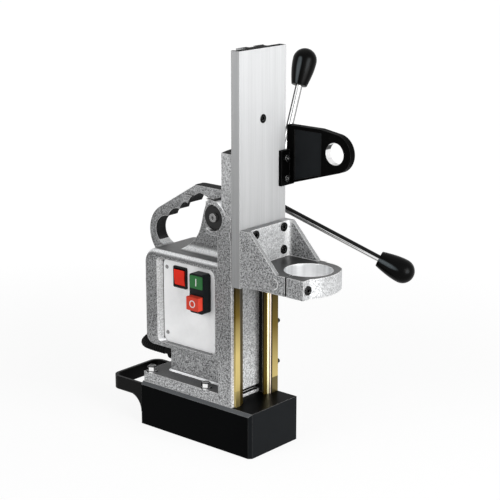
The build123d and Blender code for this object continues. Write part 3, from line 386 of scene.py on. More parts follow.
@dataclass(frozen=True)
class CastFinish(Finish):
    """Blasted cast aluminium under a thin silver lacquer, as the stand and the collar have it.

    A band is the pair of limits between which a mask steps from 0 to 1. Most masks go by where the
    surface looks: up is Z, the sides are X, and the stand's front looks along minus Y.
    """

    level: float = 0.355
    tint: float = 0.012
    metal: float = 0.15
    rough: float = 0.4
    grain_rough: float = 0.16
    specular: float = 0.35
    grain: float = 720.0
    grain_smooth: float = 0.35
    grain_depth: float = 0.0002
    pit_band: tuple = (0.95, 0.2)
    pit_share: float = 0.45
    blast: float = 0.8
    blast_band: tuple = (0.3, 0.7)
    slow_grain: float = 26.0
    # Bright edges: wear, and a painted highlight.
    edge: float = 0.0013
    edge_share: float = 0.65
    edge_grain: float = 0.5
    worn_highlight: float = 0.95
    base: float = 0.84
    contrast: float = 1.7
    middle: float = 0.57
    mottle: float = 0.14
    darkest: float = 0.04
    # Painted light on the lacquer: highlight on shoulders and the nose, shade in hollows, on top and on the
    # sides.
    shoulder_light: float = 2.1
    shoulder_bands: tuple = ((0.45, 0.7), (0.985, 0.88))
    hollow_shade: float = 0.4
    hollow_bands: tuple = ((0.1, 0.25), (0.5, 0.35))
    crown_shade: float = 0.5
    crown_band: tuple = (0.93, 0.99)
    nose_highlight: float = 0.5
    nose_side_band: tuple = (-0.2, -0.5)
    nose_ahead_band: tuple = (-0.3, -0.6)
    side: float = 0.67
    side_shade_band: tuple = (0.6, 0.95)
    up_calm: float = 0.7
    up_band: tuple = (0.2, 0.5)
    ahead_calm: float = 0.3
    ahead_band: tuple = (-0.55, -0.9)
    high_calm: float = 0.35
    high_band: tuple = (0.27, 0.3)
    # Painted light by height: each lift lightens the lacquer between two heights, low down and high up.
    height_light_lifts: tuple = ((0.14, 0.07, 0.75), (0.068, 0.062, 0.15), (0.24, 0.32, 1.2))

    def grainy(self, sheet: Sheet) -> tuple[Value, Value]:
        """The blasted grain and its slow variation.

        Args:
            sheet: The material's sheet.

        Returns:
            The grain's height and the slow variation, both from 0 to 1.
        """
        pits = sheet.cells(self.grain, self.grain_smooth).ramp(*self.pit_band)
        blast = sheet.noise(self.grain * self.blast, detail=1.0, rough=0.6).ramp(*self.blast_band)
        height = pits * self.pit_share + blast * (1.0 - self.pit_share)
        return height, sheet.noise(self.slow_grain)

    def calm(self, sheet: Sheet, up: Value, ahead: Value) -> Value:
        """How much of the grain's contrast shows: less on top, ahead and high up.

        Args:
            sheet: The material's sheet.
            up: How far the surface looks up.
            ahead: How far it looks along Y.

        Returns:
            The share that shows.
        """
        smooth = (up.ramp(*self.up_band) * self.up_calm).most(ahead.ramp(*self.ahead_band) * self.ahead_calm)
        return (1.0 - smooth) * (1.0 - sheet.z.ramp(*self.high_band) * self.high_calm)

    def lacquer(self, sheet: Sheet, height: Value, slow: Value) -> bpy.types.NodeSocket:
        """The lacquer's colour: grainy, with painted light and shade by direction and height.

        Args:
            sheet: The material's sheet.
            height: The grain's height.
            slow: The slow variation.

        Returns:
            The colour.
        """
        up, left, ahead = (sheet.facing(axis) for axis in "ZXY")
        grain = (height - self.middle) * self.calm(sheet, up, ahead) * self.contrast
        tone = (self.base + grain + slow * self.mottle).most(self.darkest)
        # Painted highlight on rounded shoulders and on faces that look left and forward; painted shade in
        # hollows and on top.
        shoulder = up.hump(*self.shoulder_bands) * self.shoulder_light
        under = up.hump(*self.hollow_bands) * self.hollow_shade
        crown_shade = up.ramp(*self.crown_band) * self.crown_shade
        nose_highlight = left.ramp(*self.nose_side_band) * ahead.ramp(*self.nose_ahead_band) * self.nose_highlight
        tone = tone * (1.0 + shoulder - under - crown_shade + nose_highlight)
        # Painted shade on faces that look along X.
        tone = tone * (1.0 - abs(left).ramp(*self.side_shade_band) * (1.0 - self.side))
        # Painted light by height: lighter low down and high up.
        height_light: Number = 1.0
        for start, done, share in self.height_light_lifts:
            height_light = height_light + sheet.z.ramp(start, done) * share
        return sheet.shade(grey(self.level, self.tint), tone * height_light)

    def outlined(self, sheet: Sheet, height: Value, face: object) -> bpy.types.NodeSocket:
        """The face's colour with the sharp edges worn bright and given a painted highlight."""
        share = sheet.edges(self.edge) * (self.edge_share + height * self.edge_grain)
        return sheet.mix(share.least(1.0), face, grey(self.worn_highlight))


@dataclass(frozen=True)
class StandFinish(CastFinish):
    """The stand's casting: lacquered, with painted shade on some faces that show dark."""

    # Painted shade: the colour and the extra roughness of the shaded faces.
    dark: tuple = grey(0.006)
    shade_rough: float = 0.45
    slow_rough: float = 0.08
    top_band: tuple = (0.7, 0.85)
    top_floor: float = 0.275
    front_y: float = -0.03
    front_top: float = 0.335
    flat_up: float = 0.97
    flange_top: float = 0.066
    flange_share: float = 0.5
    wall_x: float = 0.023
    wall_slack: float = 0.0004
    wall_y: float = -0.0395
    toe_y: tuple = (-0.0404, -0.034)
    toe_top: float = 0.062
    toe_x: float = 0.0232
    grip_turn: float = -0.25
    grip_y: float = 0.02
    grip_floor: float = 0.216
    grip_share: float = 0.93
    # Painted highlight on the recess wall's outer part, and painted shade in its corner beside the panel.
    recess_turn: float = -0.5
    recess_y: tuple = (0.0535, 0.06)
    recess_highlight: tuple = grey(0.7)
    recess_highlight_share: float = 0.4
    recess_corner: float = -0.0327
    corner_shade: tuple = grey(0.01)
    corner_shade_share: float = 0.85

    def bare_and_shade(self, sheet: Sheet) -> Value:
        """Where painted shade darkens the casting.

        Args:
            sheet: The material's sheet.

        Returns:
            One on the faces with painted shade and zero on the lacquer.
        """
        # Painted shade on upward faces high up, the flange top, the channel's walls, the foot's slot and the
        # grip's inner faces.
        up, ahead = sheet.facing("Z"), sheet.facing("Y")
        top = up.ramp(*self.top_band) * sheet.z.above(self.top_floor)
        top = top * (1.0 - sheet.y.below(self.front_y) * sheet.z.below(self.front_top))
        flange = up.above(self.flat_up) * sheet.z.below(self.flange_top) * self.flange_share
        wall = abs(abs(sheet.x) - self.wall_x).below(self.wall_slack) * sheet.y.below(self.wall_y)
        toe = sheet.y.within(*self.toe_y) * sheet.z.below(self.toe_top) * abs(sheet.x).below(self.toe_x)
        grip = ahead.below(self.grip_turn) * sheet.y.above(self.grip_y) * sheet.z.above(self.grip_floor)
        return top.most(flange).most(wall).most(toe).most(grip * self.grip_share)

    def recess(self, sheet: Sheet) -> tuple[Value, Value]:
        """The wall of the panel's recess that faces forward, with painted light and painted shade.

        Args:
            sheet: The material's sheet.

        Returns:
            One on the wall's outer part for a painted highlight, and one on its corner for painted shade.
        """
        wall = sheet.facing("Y").below(self.recess_turn) * sheet.y.within(*self.recess_y)
        return wall * sheet.x.below(self.recess_corner), wall * sheet.x.above(self.recess_corner)

    def paint(self, sheet: Sheet) -> None:
        """Sets the material's nodes.

        Args:
            sheet: The material's sheet.
        """
        height, slow = self.grainy(sheet)
        bare_and_shade = self.bare_and_shade(sheet)
        # Painted shade on those faces.
        face = sheet.mix(bare_and_shade, self.lacquer(sheet, height, slow), self.dark)
        wall, recess_corner = self.recess(sheet)
        # Painted highlight on the recess wall, and painted shade in its corner beside the panel.
        face = sheet.mix(wall * self.recess_highlight_share, face, self.recess_highlight)
        face = sheet.mix(recess_corner * self.corner_shade_share, face, self.corner_shade)
        rough = self.rough + height * self.grain_rough - slow * self.slow_rough + bare_and_shade * self.shade_rough
        sheet.set(
            Base_Color=self.outlined(sheet, height, face),
            Metallic=self.metal,
            Roughness=rough,
            Specular_IOR_Level=self.specular,
            Normal=sheet.bump(height, self.grain_depth, self.edge),
        )


@dataclass(frozen=True)
class CollarFinish(CastFinish):
    """The same casting with a turned bore, milled upper faces painted dark as shade and painted shade in the
    clamp slit.
    """

    level: float = 0.49
    shoulder_light: float = -0.35
    hollow_shade: float = 0.0
    ahead_calm: float = 0.5
    edge: float = 0.0016
    bore_radius: float = 0.02625
    bore_slack: float = 0.0004
    bore_y: float = -0.130
    top: float = 0.2175
    top_slack: float = 0.001
    milled_slack: float = 0.0003
    milled_turn: float = 0.9
    machined_metal: float = 0.9
    machined_rough: float = 0.3
    ring_rough: float = 0.1
    ring_relief: float = 0.12
    ring_waves: tuple = (60.0, 60.0, 2600.0)
    band_waves: tuple = (110.0, 110.0, 0.0)
    band_step: tuple = (0.3, 0.7)
    turned: tuple = grey(0.75, 0.01)
    turned_tones: tuple = (0.68, 0.25, 0.4)
    # The milled upper faces are painted dark as shade.
    milled_shade: tuple = grey(0.07)
    milled_tones: tuple = (0.4, 0.8, 0.2)
    # Painted shade inside the clamp slit.
    slit: float = 0.0011
    slit_from: float = 0.7
    slit_shade: tuple = grey(0.003)
    # Painted highlight in the inner corner; painted highlight and shade on the clamp screw's pressed ring.
    corner: tuple = (0.0315, -0.0725)
    corner_highlight_band: tuple = (0.010, 0.003)
    corner_highlight_share: float = 0.5
    corner_highlight: tuple = grey(0.85)
    dimple: tuple = (-0.1132, 0.2070)
    dimple_radius: float = 0.0056
    dimple_rim: float = 0.0008
    dimple_x: float = -0.0345
    dimple_share: float = 0.85
    dimple_split: float = -0.0005
    dimple_shade_and_highlight: tuple = (grey(0.03), grey(0.9))

    def machined(self, sheet: Sheet) -> tuple[Value, Value]:
        """Where the collar is machined.

        Args:
            sheet: The material's sheet.

        Returns:
            One in the bore, and one on the milled upper faces.
        """
        radius = distance(sheet.x, sheet.y - self.bore_y)
        bore = radius.below(self.bore_radius + self.bore_slack) * sheet.z.below(self.top + self.top_slack)
        level = abs(sheet.z - self.top).below(self.milled_slack)
        return bore, level * sheet.facing("Z").above(self.milled_turn)

    def cast(self, sheet: Sheet, height: Value, slow: Value) -> bpy.types.NodeSocket:
        """The lacquer, with a painted highlight in its inner corner and painted light and shade on the
        pressed ring.

        Args:
            sheet: The material's sheet.
            height: The grain's height.
            slow: The slow variation.

        Returns:
            The colour.
        """
        # Painted highlight in the inner corner.
        away = distance(sheet.x - self.corner[0], sheet.y - self.corner[1])
        glow = away.ramp(*self.corner_highlight_band) * sheet.z.above(self.top) * self.corner_highlight_share
        color = sheet.mix(glow, self.lacquer(sheet, height, slow), self.corner_highlight)
        # Painted highlight on the pressed ring's front half, painted shade on its back half.
        ahead, above = sheet.y - self.dimple[0], sheet.z - self.dimple[1]
        rim = abs(distance(ahead, above) - self.dimple_radius).below(self.dimple_rim)
        rim = rim * sheet.x.below(self.dimple_x) * self.dimple_share
        return sheet.mix(rim, color, sheet.mix(ahead.below(self.dimple_split), *self.dimple_shade_and_highlight))

    def paint(self, sheet: Sheet) -> None:
        """Sets the material's nodes.

        Args:
            sheet: The material's sheet.
        """
        height, slow = self.grainy(sheet)
        bore, level = self.machined(sheet)
        machined = bore.most(level)
        rings = sheet.streaks(self.ring_waves, detail=2.0, rough=0.6)
        bands = sheet.streaks(self.band_waves, detail=1.0, rough=0.5).ramp(*self.band_step)
        base, fine, broad = self.turned_tones
        turned = sheet.shade(self.turned, base + rings * fine + bands * broad)
        # Milled upper faces, painted dark as shade.
        base, broad, fine = self.milled_tones
        milled_shade = sheet.shade(self.milled_shade, base + slow * broad + rings * fine)
        face = sheet.mix(bore, sheet.mix(level, self.cast(sheet, height, slow), milled_shade), turned)
        # Painted shade inside the clamp slit.
        slit = abs(sheet.y - self.bore_y).below(self.slit) * sheet.x.below(-self.slit_from * self.bore_radius)
        rough = (self.rough + height * self.grain_rough) * (1 - machined)
        relief = height * (1 - machined) + rings * machined * self.ring_relief
        sheet.set(
            Base_Color=sheet.mix(slit, self.outlined(sheet, height, face), self.slit_shade),
            Metallic=self.metal + machined * (self.machined_metal - self.metal),
            Roughness=rough + machined * (self.machined_rough + rings * self.ring_rough),
            Specular_IOR_Level=self.specular,
            Normal=sheet.bump(relief, self.grain_depth, self.edge),
        )


@dataclass(frozen=True)
class BrushedFinish(Finish):
    """Milled metal brushed along Z, painted lighter toward the top, darker on its sides and dark on its
    upward ends.
    """

    color: tuple = grey(0.415, 0.01)
    base: float = 0.52
    rough: float = 0.55
    metal: float = 0.12
    specular: float = 0.2
    streak: float = 900.0
    along: float = 7.0
    fine_share: float = 0.55
    fine_rough: float = 0.18
    broad_waves: tuple = (70.0, 70.0, 3.0)
    broad_share: float = 0.18
    broad_rough: float = -0.06
    depth: float = 0.00003
    # Painted light toward the top, painted shade on the sides and upward ends, and worn edges with a painted
    # highlight.
    fade_band: tuple = (0.19, 0.46)
    fade: float = 0.55
    edge: float = 0.0005
    worn_highlight: tuple = grey(0.8)
    worn_highlight_share: float = 0.6
    side: float = 0.8
    side_shade_band: tuple = (0.5, 0.9)
    end_turn: float = 0.9
    end_shade: float = 0.02
    end_rough: float = 0.4

    def paint(self, sheet: Sheet) -> None:
        """Sets the material's nodes.

        Args:
            sheet: The material's sheet.
        """
        fine = sheet.streaks((self.streak, self.streak, self.along), detail=3.0, rough=0.7)
        broad = sheet.streaks(self.broad_waves, detail=2.0, rough=0.5)
        tone = self.base + fine * self.fine_share + broad * self.broad_share
        # Painted light toward the top, and painted shade on the sides.
        tone = tone + sheet.z.ramp(*self.fade_band) * self.fade
        tone = tone * (1.0 - abs(sheet.facing("X")).ramp(*self.side_shade_band) * (1.0 - self.side))
        # Painted shade on the upward ends.
        ends = sheet.facing("Z", flat=True).above(self.end_turn)
        tone = tone * (1.0 - ends * (1.0 - self.end_shade))
        # Edges worn bright, also a painted highlight.
        worn_highlight = sheet.edges(self.edge) * (1.0 - ends) * self.worn_highlight_share
        rough = self.rough + fine * self.fine_rough + broad * self.broad_rough
        sheet.set(
            Base_Color=sheet.mix(worn_highlight, sheet.shade(self.color, tone), self.worn_highlight),
            Metallic=self.metal * (1.0 - ends),
            Roughness=rough + ends * self.end_rough,
            Specular_IOR_Level=self.specular,
            Normal=sheet.bump(fine, self.depth, self.edge),
        )


@dataclass(frozen=True)
class WayFinish(Finish):
    """Polished brass, painted darker toward the top and at the foot, with painted highlights and shade on its
    steps.

    The reaches are where each step of the right way ends, from the channel outward.
    """

    # Painted light: the colours of the steps' highlights and shade, the shadow toward the top and the foot's
    # reflection.
    deep: tuple = (0.008, 0.0055, 0.0004, 1.0)
    warm: tuple = (0.15, 0.098, 0.012, 1.0)
    pale: tuple = (0.66, 0.52, 0.2, 1.0)
    flank: tuple = (1.0, 0.93, 0.6, 1.0)
    pink_highlight: tuple = (0.8, 0.68, 0.58, 1.0)
    groove_shade: tuple = (0.12, 0.07, 0.03, 1.0)
    inner: float = 0.0216
    shelf: float = 0.0224
    ridge: float = 0.0241
    groove: float = 0.0250
    land: float = 0.0265
    joint: float = 0.0285
    foot: float = 0.0705
    left_foot: float = 0.25
    right_foot: float = 0.5
    top_shadow_band: tuple = (0.25, 0.075)
    fine_waver: float = 0.02
    slow_waver: float = 0.05
    left_gain: float = 0.5
    olive: float = 0.6
    base: float = 0.85
    fine_share: float = 0.3
    waves: tuple = (1100.0, 1100.0, 9.0)
    slow: float = 9.0
    metal: float = 0.92
    rough: float = 0.3
    fine_rough: float = 0.12
    depth: float = 0.00002
    edge: float = 0.0003

    def paint(self, sheet: Sheet) -> None:
        """Sets the material's nodes.

        Args:
            sheet: The material's sheet.
        """
        right = sheet.x.above(0.0)
        fine = sheet.streaks(self.waves, detail=3.0, rough=0.6)
        waver = fine * self.fine_waver + sheet.noise(self.slow, detail=1.0) * self.slow_waver
        # Painted shadow: darker toward the top, under the slide.
        rise = (sheet.z + waver).ramp(*self.top_shadow_band)
        rise = rise * (1.0 + sheet.x.below(0.0) * self.left_gain)
        land = sheet.mix((rise * 2.0).least(1.0), self.deep, self.warm)
        land = sheet.mix((rise * 2.0 - 1.0).most(0.0), land, self.pale)
        # Painted reflection of the black magnet: the foot is darker.
        foot_reflection = sheet.z.below(self.foot) * (self.left_foot + right * self.right_foot)
        color = sheet.mix(foot_reflection, land, self.deep)
        olive = sheet.mix(rise * self.olive, self.deep, self.warm)
        # Painted highlights and shade on the right way's steps.
        bands = (
            (self.joint, self.deep), (self.land, self.pink_highlight), (self.groove, self.groove_shade),
            (self.ridge, self.flank), (self.shelf, self.warm), (self.inner, olive),
        )
        for reach, band in bands:
            color = sheet.mix(sheet.x.below(reach) * right, color, band)
        # Painted shade on the left way's inner face.
        color = sheet.mix(sheet.x.within(-self.land, 0.0), color, olive)
        sheet.set(
            Base_Color=sheet.shade(color, self.base + fine * self.fine_share),
            Metallic=self.metal,
            Roughness=self.rough + fine * self.fine_rough,
            Normal=sheet.bump(fine, self.depth, self.edge),
        )


@dataclass(frozen=True)
class PaintFinish(Finish):
    """Sprayed enamel with a faint orange peel and dulled patches, and painted light on its fronts, chamfers
    and edges.
    """

    color: tuple = grey(0.012)
    # Painted light: a front colour on faces along Y, a colour on chamfers and a highlight on edges.
    front: tuple = grey(0.012)
    front_light_band: tuple = (0.3, 0.9)
    rough: float = 0.28
    slow_rough: float = 0.14
    peel_rough: float = 0.04
    peel: float = 700.0
    slow: float = 30.0
    tones: tuple = (0.8, 0.35, 0.1)
    depth: float = 0.00002
    specular: float = 0.5
    edge: float = 0.0005
    bevel_light_and_shade: tuple = grey(0.012)
    bevel_band: tuple = (0.3, 0.5)
    bevel_top: float = 0.95
    line: tuple = grey(0.3)
    edge_highlight: float = 0.8
    lower_edge_highlight: float = 0.15
    upper_band: tuple = (0.05, 0.3)

    def mottled(self, sheet: Sheet) -> tuple[Value, Value, Value]:
        """The enamel's orange peel and patches.

        Args:
            sheet: The material's sheet.

        Returns:
            The peel's height, the colour's tone, and the roughness.
        """
        peel = sheet.noise(self.peel)
        slow = sheet.noise(self.slow, detail=3.0, rough=0.6)
        base, broad, fine = self.tones
        rough = self.rough + slow * self.slow_rough + peel * self.peel_rough
        return peel, base + slow * broad + peel * fine, rough

    def paint(self, sheet: Sheet) -> None:
        """Sets the material's nodes.

        Args:
            sheet: The material's sheet.
        """
        peel, tone, rough = self.mottled(sheet)
        up = sheet.facing("Z")
        # Painted light on chamfers that look partly up, and on faces that look along Y.
        chamfer_highlight = up.ramp(*self.bevel_band) * up.below(self.bevel_top)
        side = sheet.mix(abs(sheet.facing("Y")).ramp(*self.front_light_band), self.color, self.front)
        color = sheet.mix(chamfer_highlight, side, self.bevel_light_and_shade)
        # Painted highlight along the edges, strongest on upper ones.
        upper = up.ramp(*self.upper_band) * (1.0 - self.lower_edge_highlight) + self.lower_edge_highlight
        color = sheet.mix(sheet.edges(self.edge) * upper * self.edge_highlight, color, self.line)
        sheet.set(
            Base_Color=sheet.shade(color, tone),
            Roughness=rough,
            Specular_IOR_Level=self.specular,
            Normal=sheet.bump(peel, self.depth, self.edge),
        )


@dataclass(frozen=True)
class BracketFinish(PaintFinish):
    """Enamel with a greyer sunk field, painted edge highlights and an unpainted steel eye with painted
    reflection bands.
    """

    tones: tuple = (0.75, 0.35, 0.15)
    depth: float = 0.00006
    eye: tuple = (-0.1318, 0.3374)
    eye_radius: float = 0.0118
    eye_slack: float = 0.0003
    eye_metal: float = 0.9
    eye_waves: tuple = (0.0, 0.0, 150.0)
    eye_reflection_band: tuple = (0.42, 0.5)
    eye_reflection_tones: tuple = (grey(0.06), grey(0.85))
    field_y: tuple = (-0.1135, -0.0765)
    field_x: tuple = (0.0407, 0.0417)
    field_color: tuple = grey(0.015, 0.1)

    def paint(self, sheet: Sheet) -> None:
        """Sets the material's nodes.

        Args:
            sheet: The material's sheet.
        """
        peel, tone, rough = self.mottled(sheet)
        sunk = sheet.y.within(*self.field_y) * sheet.x.within(*self.field_x)
        color = sheet.mix(sunk, self.color, self.field_color)
        # Painted highlight along the edges.
        color = sheet.mix(sheet.edges(self.edge) * self.edge_highlight, color, self.bevel_light_and_shade)
        radius = distance(sheet.y - self.eye[0], sheet.z - self.eye[1])
        bare_and_shade = radius.below(self.eye_radius + self.eye_slack)
        # Painted reflection bands in the steel eye.
        bands = sheet.streaks(self.eye_waves, detail=1.0, rough=0.5).ramp(*self.eye_reflection_band)
        color = sheet.mix(bare_and_shade, color, sheet.mix(bands, *self.eye_reflection_tones))
        sheet.set(
            Base_Color=sheet.shade(color, tone),
            Metallic=bare_and_shade * self.eye_metal,
            Roughness=rough,
            Specular_IOR_Level=self.specular,
            Normal=sheet.bump(peel, self.depth, self.edge),
        )


@dataclass(frozen=True)
class MouldedFinish(Finish):
    """Moulded plastic with a fine spark-eroded grain."""

    color: tuple = grey(0.02)
    rough: float = 0.42
    grain_rough: float = 0.1
    slow_rough: float = 0.06
    grain: float = 1500.0
    slow: float = 55.0
    tones: tuple = (0.86, 0.22, 0.06)
    depth: float = 0.00004
    specular: float = 0.5
    edge: float = 0.0004

    def paint(self, sheet: Sheet) -> None:
        """Sets the material's nodes.

        Args:
            sheet: The material's sheet.
        """
        grain = sheet.noise(self.grain, rough=0.6)
        slow = sheet.noise(self.slow)
        base, broad, fine = self.tones
        sheet.set(
            Base_Color=sheet.shade(self.color, base + slow * broad + grain * fine),
            Roughness=self.rough + grain * self.grain_rough + slow * self.slow_rough,
            Specular_IOR_Level=self.specular,
            Normal=sheet.bump(grain, self.depth, self.edge),
        )


@dataclass(frozen=True)
class MetalFinish(Finish):
    """Turned, plated or oxide-blacked metal with faint tool marks and, where set, painted edge highlights."""

    color: tuple = grey(0.6)
    rough: float = 0.25
    marks_rough: float = 0.1
    slow_rough: float = 0.05
    metal: float = 1.0
    marks: float = 1300.0
    slow: float = 90.0
    tones: tuple = (0.85, 0.2, 0.1)
    depth: float = 0.00002
    edge: float = 0.0003
    line: tuple = grey(0.6)
    edge_highlight: float = 0.0

    def paint(self, sheet: Sheet) -> None:
        """Sets the material's nodes.

        Args:
            sheet: The material's sheet.
        """
        marks = sheet.noise(self.marks, rough=0.6)
        slow = sheet.noise(self.slow)
        base, broad, fine = self.tones
        color = self.color
        # Painted highlight along the edges, where set.
        if self.edge_highlight:
            color = sheet.mix(sheet.edges(self.edge) * self.edge_highlight, color, self.line)
        sheet.set(
            Base_Color=sheet.shade(color, base + slow * broad + marks * fine),
            Metallic=self.metal,
            Roughness=self.rough + marks * self.marks_rough + slow * self.slow_rough,
            Normal=sheet.bump(marks, self.depth, self.edge),
        )


@dataclass(frozen=True)
class WasherFinish(MetalFinish):
    """Blacked steel with a turned rim, painted bright as a highlight on its side that looks forward."""

    rim_highlight: tuple = grey(0.95)
    face_turn: float = -0.6
    rim_highlight_band: tuple = (-0.15, -0.45)

    def paint(self, sheet: Sheet) -> None:
        """Sets the material's nodes.

        Args:
            sheet: The material's sheet.
        """
        marks = sheet.noise(self.marks, rough=0.6)
        # Painted highlight on the rim's side that looks forward.
        rim = sheet.facing("X").above(self.face_turn) * sheet.facing("Y").ramp(*self.rim_highlight_band)
        sheet.set(
            Base_Color=sheet.mix(rim, self.color, self.rim_highlight),
            Metallic=self.metal,
            Roughness=self.rough + sheet.noise(self.marks) * self.marks_rough,
            Normal=sheet.bump(marks, self.depth, self.edge),
        )


@dataclass(frozen=True)
class ChromeFinish(Finish):
    """Polished chrome painted with the reflection of a white room, a dark ceiling and dark far ends.

    A rod that stands over the upright height shows the room's lines along its flank, and a lower one
    shows the ceiling on its upper half.
    """

    dark: tuple = grey(0.012)
    light: tuple = grey(0.8)
    top: tuple = grey(0.012)
    top_turn: float = 0.95
    upright: float = 0.29
    side_turns: tuple = (0.75, -0.66)
    ceiling_band: tuple = (0.2, 0.28)
    outline_band: tuple = (0.56, 0.82)
    line_bands: tuple = ((-0.42, -0.36), (-0.24, -0.3))
    line_share: float = 0.8
    middle_bands: tuple = ((-0.02, 0.28), (0.62, 0.32))
    middle_share: float = 0.75
    slow: float = 50.0
    base: float = 0.9
    slow_share: float = 0.15
    dark_metal: float = -0.3
    top_metal: float = -0.6
    rough: float = 0.12
    slow_rough: float = 0.06
    specular: float = 0.1
    depth: float = 0.00001

    def paint(self, sheet: Sheet) -> None:
        """Sets the material's nodes.

        Args:
            sheet: The material's sheet.
        """
        # Painted reflection, set by the surface's direction and height.
        up = sheet.facing("Z")
        side = sheet.facing("X") * self.side_turns[0] + sheet.facing("Y") * self.side_turns[1]
        high = sheet.z.above(self.upright)
        low = 1.0 - high
        line = up.hump(*self.line_bands) * low * self.line_share
        middle = side.hump(*self.middle_bands) * high * self.middle_share
        outline = abs(side).ramp(*self.outline_band)
        shade = (up.ramp(*self.ceiling_band) * low).most(outline).most(line).most(middle)
        top = up.above(self.top_turn)
        slow = sheet.noise(self.slow)
        color = sheet.mix(top, sheet.mix(shade, self.light, self.dark), self.top)
        sheet.set(
            Base_Color=sheet.shade(color, self.base + slow * self.slow_share),
            Metallic=1.0 + shade * self.dark_metal + top * self.top_metal,
            Roughness=self.rough + slow * self.slow_rough,
            Specular_IOR_Level=self.specular,
            Normal=sheet.bump(slow, self.depth),
        )


@dataclass(frozen=True)
class KnobFinish(Finish):
    """Polished black phenolic with two soft sheens painted down its flank."""

    color: tuple = grey(0.001)
    sheen: tuple = (0.07, 0.082, 0.088, 1.0)
    rough: float = 0.25
    slow_rough: float = 0.1
    specular: float = 0.06
    slow: float = 160.0
    patches: tuple = (0.7, 0.6)
    sheen_headings: tuple = (((-0.93, -0.25, 0.28), 0.028, 1.0), ((-0.5, -0.84, 0.2), 0.02, 0.2))
    depth: float = 0.00001

    def lit(self, sheet: Sheet, heading: Sequence[float], reach: float) -> Value:
        """One where the surface looks along a heading, fading to zero round it.

        Args:
            sheet: The material's sheet.
            heading: The heading, one unit long.
            reach: How far from it the fade starts, as a share of a right angle.

        Returns:
            The mask.
        """
        x, y, z = (sheet.facing(axis) * share for axis, share in zip("XYZ", heading))
        return (x + y + z).ramp(1.0 - reach, 1.0)

    def paint(self, sheet: Sheet) -> None:
        """Sets the material's nodes.

        Args:
            sheet: The material's sheet.
        """
        slow = sheet.noise(self.slow)
        # Painted highlight where the surface looks along each heading.
        light: Number = 0.0
        for heading, reach, share in self.sheen_headings:
            light = light + self.lit(sheet, heading, reach) * share
        base, broad = self.patches
        light = (light * (base + slow * broad)).least(1.0)
        sheet.set(
            Base_Color=sheet.mix(light, self.color, self.sheen),
            Roughness=self.rough + slow * self.slow_rough,
            Specular_IOR_Level=self.specular,
            Normal=sheet.bump(slow, self.depth),
        )


@dataclass(frozen=True)
class WireFinish(Finish):
    """Enamelled copper wire wound in even turns."""

    color: tuple = (0.45, 0.16, 0.06, 1.0)
    turn: float = 0.0009
    slow: float = 60.0
    tones: tuple = (0.7, 0.3, 0.2)
    metal: float = 0.8
    rough: float = 0.3
    slow_rough: float = 0.15

    def paint(self, sheet: Sheet) -> None:
        """Sets the material's nodes.

        Args:
            sheet: The material's sheet.
        """
        turns = (sheet.z * (2 * math.pi / self.turn)).step("SINE") * 0.5 + 0.5
        slow = sheet.noise(self.slow)
        base, wire, broad = self.tones
        sheet.set(
            Base_Color=sheet.shade(self.color, base + turns * wire + slow * broad),
            Metallic=self.metal,
            Roughness=self.rough + slow * self.slow_rough,
            Normal=sheet.bump(turns, self.turn / 3),
        )


@dataclass(frozen=True)
class BoardFinish(Finish):
    """A green circuit board with tinned tracks and dark parts."""

    board: tuple = (0.015, 0.12, 0.05, 1.0)
    track: tuple = (0.05, 0.28, 0.12, 1.0)
    parts: tuple = grey(0.03)
    parts_x: float = 0.0190
    maze: float = 260.0
    track_waves: float = 9.0
    track_from: float = 0.72
    rough: float = 0.35
    rough_share: float = 0.2
    slow: float = 300.0
    depth: float = 0.00005

    def paint(self, sheet: Sheet) -> None:
        """Sets the material's nodes.

        Args:
            sheet: The material's sheet.
        """
        maze = sheet.noise(self.maze, detail=0.0) * self.track_waves
        tracks = maze.step("FRACT").above(self.track_from)
        green = sheet.mix(tracks, self.board, self.track)
        sheet.set(
            Base_Color=sheet.mix(sheet.x.below(self.parts_x), green, self.parts),
            Roughness=self.rough + sheet.noise(self.slow) * self.rough_share,
            Normal=sheet.bump(tracks, self.depth),
        )


